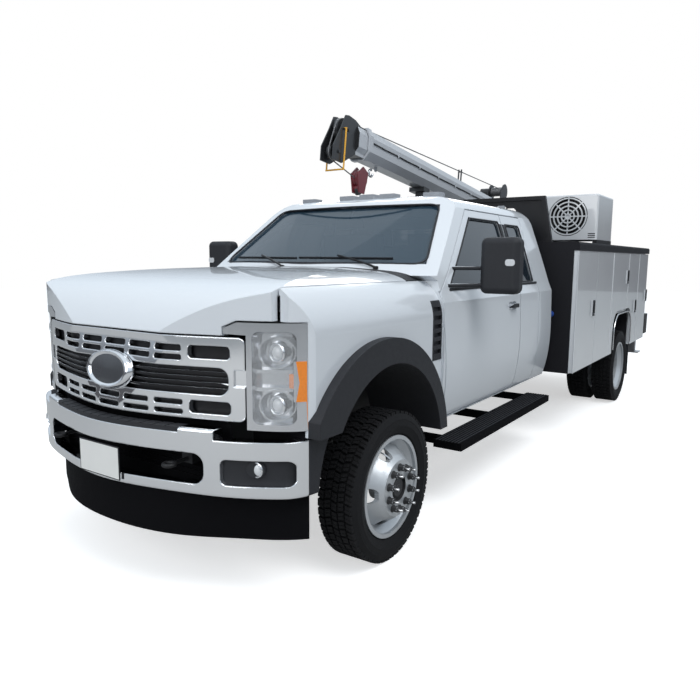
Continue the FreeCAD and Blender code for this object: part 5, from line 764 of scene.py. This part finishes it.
def nut_ring(axle_x, face):
    """Flanges, nuts and stud ends round a wheel's hub"""
    ring = []
    for number in range(nut_count):
        angle = math.radians(number * 360 / nut_count)
        place = truck(axle_x + nut_circle * math.sin(angle), face, axle_z + nut_circle * math.cos(angle))
        ring.append(coated(turned(((-1, 21), (4, 21), (6, 18), (6, 10)), place, "y", 20), cast_metal))
        ring.append(coated(turned(((3, 17.6), (28, 17.6), (33, 15.6), (33, 8)), place, "y", 6), cast_metal))
        ring.append(coated(turned(((30, 7.5), (58, 7.5), (61, 6), (61, 0.5)), place, "y", 14), bright_steel))
    return ring


front_nuts, rear_nuts = nut_ring(0, front_face), nut_ring(rear_axle_x, rear_face)
print("turned pieces in the two rings", len(front_nuts) + len(rear_nuts))

# %% [markdown]
# The front wheel has a low cap on its hub, and the rear one a tall cover over the end of its half shaft.
# The tyre's valve is a tube along a short curve, which stays round in the bend. Each set is finished on
# the left and mirrored to the right.

# %% Hub covers and valves
valve_circle, valve_angle = 205, math.radians(18)
other_side = Matrix.Scale(-1, 4, (0, 1, 0))


def tube(points, radius, fine=2):
    """Round bar along a smooth path through control points in metres"""
    deselect()
    bpy.ops.curve.primitive_nurbs_path_add()
    path = bpy.context.active_object
    path.data.splines.clear()
    spline = path.data.splines.new("NURBS")
    spline.points.add(len(points) - 1)
    for spot, point in zip(spline.points, points):
        spot.co = (point[0], point[1], point[2], 1.0)
    spline.order_u = 3
    spline.use_endpoint_u = True
    spline.resolution_u = 6
    path.data.bevel_depth = radius / 1000
    path.data.bevel_resolution = fine
    path.data.use_fill_caps = True
    bpy.ops.object.convert(target="MESH")
    return bpy.context.active_object


def on_both_sides(piece, name, body, material=None):
    """A left piece and its mirror image; SIDE in the body's name stands for the side of each"""
    for side, place in (("left", Matrix.Identity(4)), ("right", other_side)):
        set_up(copied(piece, place), name + "_" + side, body.replace("SIDE", side), material)
    bpy.data.objects.remove(piece)


def valve(axle_x, base_y):
    """Tyre valve that bends towards the hub as it comes out"""
    x = axle_x + valve_circle * math.sin(valve_angle)
    z = axle_z + valve_circle * math.cos(valve_angle)
    return tube([truck(x, base_y, z), truck(x - 4, base_y + 30, z - 6), truck(x - 14, base_y + 55, z - 30)], 4.5)


front_cap = ((-22, 52), (-8, 50), (-5, 46), (-5, 20), (-2, 18), (-2, 0.5))
rear_cover = ((120, 83), (132, 79), (134, 60), (134, 56), (139, 54), (140, 12), (140, 0.5))
for name, body, axle_x, nuts, profile, face, valve_y in (
        ("nuts_front", "front_wheel_SIDE", 0, front_nuts, front_cap, front_face, 1000),
        ("nuts_rear", "rear_wheels_SIDE", rear_axle_x, rear_nuts, rear_cover, rear_face - 6, 1010)):
    cover = coated(turned(profile, truck(axle_x, face, axle_z), "y", 40), cast_metal)
    stem = coated(valve(axle_x, valve_y), bright_steel)
    on_both_sides(joined(nuts + [cover, stem]), name, body)

# %% [markdown]
# Each lamp pocket gets what makes a lamp read as one: a projector lens in a chrome ring in each bowl, with
# bright upright fins beside it, and an amber strip between the bowls. An image of a lamp would look flat,
# so all of it is turned or cut from blocks.

# %% Headlamp bowls
bowl_y, bowl_zs = 862, (950, 1186)
bowl_ring = ((0, 44), (20, 46), (24, 42), (24, 36), (6, 34))
bowl_lens = ((6, 34), (16, 31), (24, 22), (28, 10), (29, 0.5))
lamp_pieces = []
for z in bowl_zs:
    x = nose_x(bowl_y, z) - 34
    place = truck(x - 14, bowl_y, z)
    lamp_pieces.append(coated(turned(bowl_ring, place, "x", 36), chrome))
    lamp_pieces.append(coated(turned(bowl_lens, place, "x", 36), clear_lens))
    for y in range(792, 817, 6):
        lamp_pieces.append(coated(block((x - 26, x - 4), (y, y + 2.4), (z - 60, z + 60), 0.8, 1), lamp_silver))
strip_x = nose_x(935, 1060)
lamp_pieces.append(coated(block((strip_x - 30, strip_x - 24), (905, 941), (1028, 1092), 3), amber_lens))
on_both_sides(joined(lamp_pieces), "lamp_bowls", "chassis")

# %% [markdown]
# The fog lamp sits in the bumper's outer slot: a bright ring and a domed lens. Its depth is taken from
# the bumper's plan, so that it keeps to the curve.

# %% Fog lamps
fog_y, fog_z = 810, 668
fog_place = truck(along_plan(bumper_plan, fog_y) - 20, fog_y, fog_z)
fog_ring = coated(turned(((-14, 37), (2, 38), (6, 35), (6, 31), (-2, 28)), fog_place, "x", 36), chrome)
fog_lens = coated(turned(((-3, 29), (3, 25), (7, 16), (9, 6), (9, 0.5)), fog_place, "x", 36), clear_lens)
on_both_sides(joined([fog_ring, fog_lens]), "fog_lamp", "chassis")

# %% [markdown]
# The number plate is bare, in a black frame with two screws. The frame could be four bars. One block does
# it: its front face is inset by the frame's width and pushed back, and the face left in the middle is white.

# %% Plate frame
screw_profile = ((0, 7), (2.4, 6), (3, 3), (3, 0.5))


def plate_face(face):
    """Test for the large faces that look forwards"""
    return face.normal.x > 0.99 and face.area > 0.02


def sink(piece, test, way):
    """Inset the faces that pass a test by 8 mm, and move what is left of them in metres"""
    pick(piece, "FACE", test)
    bpy.ops.mesh.inset(thickness=0.008)
    bpy.ops.transform.translate(value=way)
    bpy.ops.object.mode_set(mode="OBJECT")


frame_piece = block((1024, 1030), (-156, 156), (549, 713), 3)
sink(frame_piece, plate_face, (-0.0035, 0, 0))
screws = [coated(turned(screw_profile, truck(1026.6, y, 694), "x", 16), bright_steel) for y in (-90, 90)]
coated(coated(frame_piece, black_plastic), plate_white)
for face in frame_piece.data.polygons:
    if plate_face(face):
        face.material_index = 1
set_up(joined([frame_piece] + screws), "plate_frame", "chassis")

# %% [markdown]
# The oval on the grille is plain: a deep chrome rim round a dark, slightly domed face. It is turned as a
# circle, which keeps the rim's section even, then flattened to an oval and leaned back with the nose.

# %% Emblem rim
rim_z, oval_height = 1060, 85 / 150
rim_profile = ((-4, 172), (12, 170), (24, 162), (30, 152), (30, 142), (26, 132), (22, 126), (24, 70), (25, 0.5))
emblem_ring = coated(coated(turned(rim_profile, Vector((0, 0, 0)), "x", 64), chrome), emblem_plain)
for face in emblem_ring.data.polygons:
    if math.hypot(face.center.y, face.center.z) < 0.127:
        face.material_index = 1
emblem_ring.data.transform(Matrix.Translation(truck(nose_x(0, rim_z) + 7, 0, rim_z))
                           @ Matrix.Rotation(-math.atan2(lean_run, lean_rise), 4, "Y")
                           @ Matrix.Diagonal((1, 1, oval_height, 1)))
set_up(emblem_ring, "emblem_rim", "chassis")

# %% [markdown]
# Behind the bumper's opening a dark air guide closes the view of the engine. It is one thin wall with
# low ribs across it, the ribs modelled once and copied upwards, and a plain wing under each headlamp.

# %% Air guide behind the bumper
rib_step = 0.026
guide = block((776, 781), (-650, 650), (465, 880), 2, 1)
rib = block((779, 790), (-640, 640), (556, 561), 1.5, 1)
wings = [block((640, 645), span(sign, 655, 965), (700, 868), 2, 1) for side, sign in sides]
more_ribs = [copied(rib, Matrix.Translation((0, 0, rib_step * number))) for number in range(1, 8)]
set_up(joined([guide, rib] + wings + more_ribs), "air_guide", "chassis", matt_black)

# %% [markdown]
# Rubber seals frame the side windows. A thin tube that follows the corners of its opening, on the slope
# of the glass, has the round edge of real rubber from the start. The doors carry theirs with them.

# %% Side window seals
waist_z, bend_z = 1410, 1680
front_window = [(-1906, 1430), (-1906, 1882), (-1368, 1882), (-822, 1462), (-790, 1430)]
rear_window = [(-2337, 1430), (-2337, 1868), (-2040, 1868), (-2040, 1430)]


def cab_side(z):
    """Half width of the cab's side at a height: it leans in, and a little more above the bend"""
    return 980 - (z - waist_z) * 0.3185 if z < bend_z else 894 - (z - bend_z) * 0.343


def outline_of(corners, spacing=60):
    """Points along a closed run of (x, z) corners, close enough to keep a tube near its corners"""
    points = []
    for (x0, z0), (x1, z1) in zip(corners, corners[1:] + corners[:1]):
        steps = max(int(math.hypot(x1 - x0, z1 - z0) / spacing), 1)
        for number in range(steps):
            t = number / steps
            points.append((x0 + (x1 - x0) * t, z0 + (z1 - z0) * t))
    return points + points[:2]


for name, corners in (("front", front_window), ("rear", rear_window)):
    run = [truck(x, cab_side(z) + 1, z) for x, z in outline_of(corners)]
    on_both_sides(tube(run, 5.5, fine=1), "seal_" + name, name + "_door_SIDE", black_plastic)

# %% [markdown]
# Below each window a rubber strip wipes the glass, and between the two windows stand black posts. A post
# is a flat block, cut through where the cab's side bends, whose corners are moved out to that side.

# %% Belt strips and window posts
for name, x in (("front", (-1955, -765)), ("rear", (-2400, -1978))):
    strip = block(x, (979, 989), (1406, 1424), 4)
    on_both_sides(strip, "belt_strip_" + name, name + "_door_SIDE", black_plastic)
for name, x in (("front", (-1960, -1912)), ("rear", (-2034, -1974))):
    post = block(x, (-1.5, 1.5), (1428, 1868), 1, 1)
    bpy.ops.object.mode_set(mode="EDIT")
    bpy.ops.mesh.select_all(action="SELECT")
    bpy.ops.mesh.bisect(plane_co=truck(0, 0, bend_z), plane_no=(0, 0, 1))
    bpy.ops.object.mode_set(mode="OBJECT")
    for vertex in post.data.vertices:
        vertex.co.y += (cab_side(vertex.co.z * 1000) + 1) / 1000
    on_both_sides(post, "window_post_" + name, name + "_door_SIDE", satin_black)

# %% [markdown]
# The windshield is curved from side to side and leans back, and its seal runs round all four edges. It
# can't be drawn flat, so small functions say where the glass is, and the seal is one closed tube through
# points that stand a little proud of it.

# %% Windshield seal


def screen_x(y, z):
    """Front face of the windshield"""
    t = (z - 1500) / 540
    base = -475 - 137 * (abs(y) / 844) ** 1.7
    top = -1200 - 90 * (abs(y) / 687) ** 1.7
    return base + (top - base) * t


def screen_half(z):
    """Half width of the windshield's seal at a height"""
    return 850 + (z - 1567) * (690 - 850) / 401.5


def on_screen(y, z, proud=3.0):
    """A point in front of the windshield, proud of it by so many millimetres"""
    return truck(screen_x(y, z) + proud * 0.6, y, z + proud * 0.8)


run = [on_screen(y, 1566) for y in range(-800, 801, 80)]
run += [on_screen(screen_half(z), z) for z in range(1590, 1960, 60)]
run += [on_screen(y, 1968) for y in range(640, -641, -80)]
run += [on_screen(-screen_half(z), z) for z in range(1950, 1580, -60)]
run.append(run[0])
set_up(tube(run, 7, fine=1), "windshield_seal", "chassis", black_plastic)

# %% [markdown]
# Two wipers lie along the base of the windshield, each with an arm from a round pivot to the middle of a
# slender blade. The blade's holder and its rubber are two tubes that follow the glass, so they bend as it does.

# %% Wipers
wiper_pieces = []
for pivot_y, tip_y in ((560, -60), (-150, -720)):
    pivot = on_screen(pivot_y, 1535, 12)
    middle = on_screen((pivot_y + tip_y) / 2, 1600, 24)
    blade_y = pivot_y + 70
    low = [on_screen(blade_y - (blade_y - tip_y) * n / 10, 1592 + 3 * n / 10, 13) for n in range(11)]
    wiper_pieces.append(turned(((-14, 17), (4, 17), (9, 12), (9, 0.5)), pivot, "z", 20))
    wiper_pieces.append(tube([pivot, on_screen(pivot_y - 60, 1550, 26), middle], 7, fine=1))
    wiper_pieces.append(tube(low, 6, fine=1))
    wiper_pieces.append(tube([point + Vector((-0.003, 0, -0.008)) for point in low], 3, fine=1))
set_up(joined(wiper_pieces), "wipers", "chassis", satin_black)

# %% [markdown]
# The running board's ribs give the boot a grip: long low bars with softened edges, one for every 22 mm.

# %% Running board ribs
ribs = [block((-2600, -800), (y, y + 9), (442, 448.5), 2, 1) for y in range(892, 1066, 22)]
on_both_sides(joined(ribs), "board_ribs", "chassis", black_plastic)

# %% [markdown]
# Four of the five locker doors on each side have a paddle latch: a shallow well, a paddle in it and a
# round lock. The well is a block whose outer face is inset and pushed in. Each latch rides on its door.

# %% Door latches
latches = (("a", -3477, 1151), ("c", -4988, 1415), ("d", -5523, 1054), ("e", -6190, 1157))
for letter, x, z in latches:
    well = block((x - 31, x + 31), (1192, 1203), (z - 75, z + 75), 5)
    sink(well, lambda face: face.normal.y > 0.99 and face.area > 0.004, (0, -0.006, 0))
    paddle = block((x - 17, x + 17), (1197, 1206), (z - 42, z + 52), 4)
    lock = turned(((-2, 9), (3, 9), (5, 7), (5, 0.5)), truck(x, 1200, z - 56), "y", 20)
    latch = joined([coated(well, black_plastic), coated(paddle, satin_black), coated(lock, bright_steel)])
    on_both_sides(latch, "latch_" + letter, "body_door_" + letter + "_SIDE")

# %% [markdown]
# A bright flange runs round the wheel arch: a tube whose path is two quarter bends between upright ends.

# %% Arch flange
arch_foot, arch_spring, arch_bend, body_side_y = 640, 806, 210, 1192
arch = [truck(arch_front, body_side_y, arch_foot)]
for centre_x, start in ((arch_front - arch_bend, 0), (arch_rear + arch_bend, 90)):
    for degrees in range(start, start + 91, 15):
        angle = math.radians(degrees)
        arch.append(truck(centre_x + arch_bend * math.cos(angle), body_side_y,
                          arch_spring + arch_bend * math.sin(angle)))
arch.append(truck(arch_rear, body_side_y, arch_foot))
on_both_sides(tube(arch, 7), "arch_flange", "chassis", bright_steel)

# %% [markdown]
# On the body's front wall sits a blue coupling for a hose, turned in one piece with a collar near its end.

# %% Hose coupling
coupling_profile = ((-2, 27), (8, 27), (11, 18), (34, 18), (36, 22), (52, 22), (55, 14), (55, 0.5))
coupling = turned(coupling_profile, truck(-2871, 975, 1125), "x", 24)
set_up(coupling, "hose_coupling", "chassis", blue_hose)

# %% [markdown]
# Each pod of the rear bumper has two red lenses with a clear one between them. They are turned, made
# narrower, and mirrored to look backwards, so their faces are flipped to point outwards again.

# %% Tail lamps
lens_x, lens_z, lens_width = -6456.5, 760, 0.7
tail_pieces = []
for y, finish in ((965, red_lens), (1025, clear_lens), (1085, red_lens)):
    tail_lens = turned(((-2, 40), (4, 40), (7, 34), (9, 20), (9, 0.5)), Vector((0, 0, 0)), "x", 32)
    tail_lens.data.transform(Matrix.Translation(truck(lens_x, y, lens_z)) @ Matrix.Diagonal((-1, lens_width, 1, 1)))
    tail_lens.data.flip_normals()
    tail_pieces.append(coated(tail_lens, finish))
on_both_sides(joined(tail_pieces), "tail_lenses", "chassis")

# %% [markdown]
# On the crane a dark hose follows the side of the boom in small clips. The hose is a tube that sways a
# little between its points, because a dead straight one would read as a rod.

# %% Boom hose and clips
hose_across = 131
hose_points = [on_boom(along, hose_across, 20 - 6 * (n % 2)) for n, along in enumerate(range(-100, 3421, 220))]
hose = tube(hose_points, 6)
clips = []
for along in range(120, 3400, 470):
    clip = block((-9, 9), (-9, 9), (-16, 16), 3, 1)
    clip.data.transform(Matrix.Translation(-truck(0, 0, 0)))
    clip.data.transform(Matrix.Translation(on_boom(along, hose_across, 17)) @ Matrix.Rotation(-boom_slope, 4, "Y"))
    clips.append(clip)
set_up(hose, "boom_hose", "boom", satin_black)
set_up(joined(clips), "hose_clips", "boom", bright_steel)

# %% [markdown]
# The rope leaves the boom's top, runs over the head's sheave and comes down to the hook and its round
# weight.

# %% Rope and weight
weight = turned(((-34, 30), (-30, 34), (26, 34), (34, 26), (34, 0.5)), Vector((0, 0, 0)), "z", 28)
weight.data.transform(Matrix.Translation(on_boom(3452, 0, -440)) @ Matrix.Rotation(math.radians(28), 4, "Y"))
set_up(weight, "rope_weight", "boom_extension", crane_black)

rope_path = ((3500, 170), (3700, 170), (3790, 170), (3873, 135), (3908, 52), (3988, -180), (3968, -228),
             (3920, -248))
rope = tube([on_boom(along, 0, up) for along, up in rope_path], 6.5)
set_up(rope, "head_rope", None, rope_steel)
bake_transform(rope)

# %% [markdown]
# Inside the cab only what shows through the glass is added. A headrest is a block with wide rounded edges
# on two steel posts, and the inner mirror hangs from a bent stem at the top of the windshield.

# %% Headrests and inner mirror
for side, sign in sides:
    y = sign * 420
    rest = block((-1790, -1705), (y - 130, y + 130), (1640, 1800), 34, 4)
    posts = [tube([truck(-1750, y + gap, 1520), truck(-1748, y + gap, 1590), truck(-1746, y + gap, 1650)], 6)
             for gap in (-60, 60)]
    pieces = [coated(rest, seat_cloth)] + [coated(post, bright_steel) for post in posts]
    set_up(joined(pieces), "headrest_" + side, "chassis")
mirror = block((-1130, -1105), (-120, 120), (1820, 1885), 9, 3)
stem = tube([truck(-1115, 0, 1880), truck(-1130, 0, 1910), truck(-1170, 0, 1950)], 6)
set_up(joined([mirror, stem]), "inner_mirror", "chassis", black_plastic)
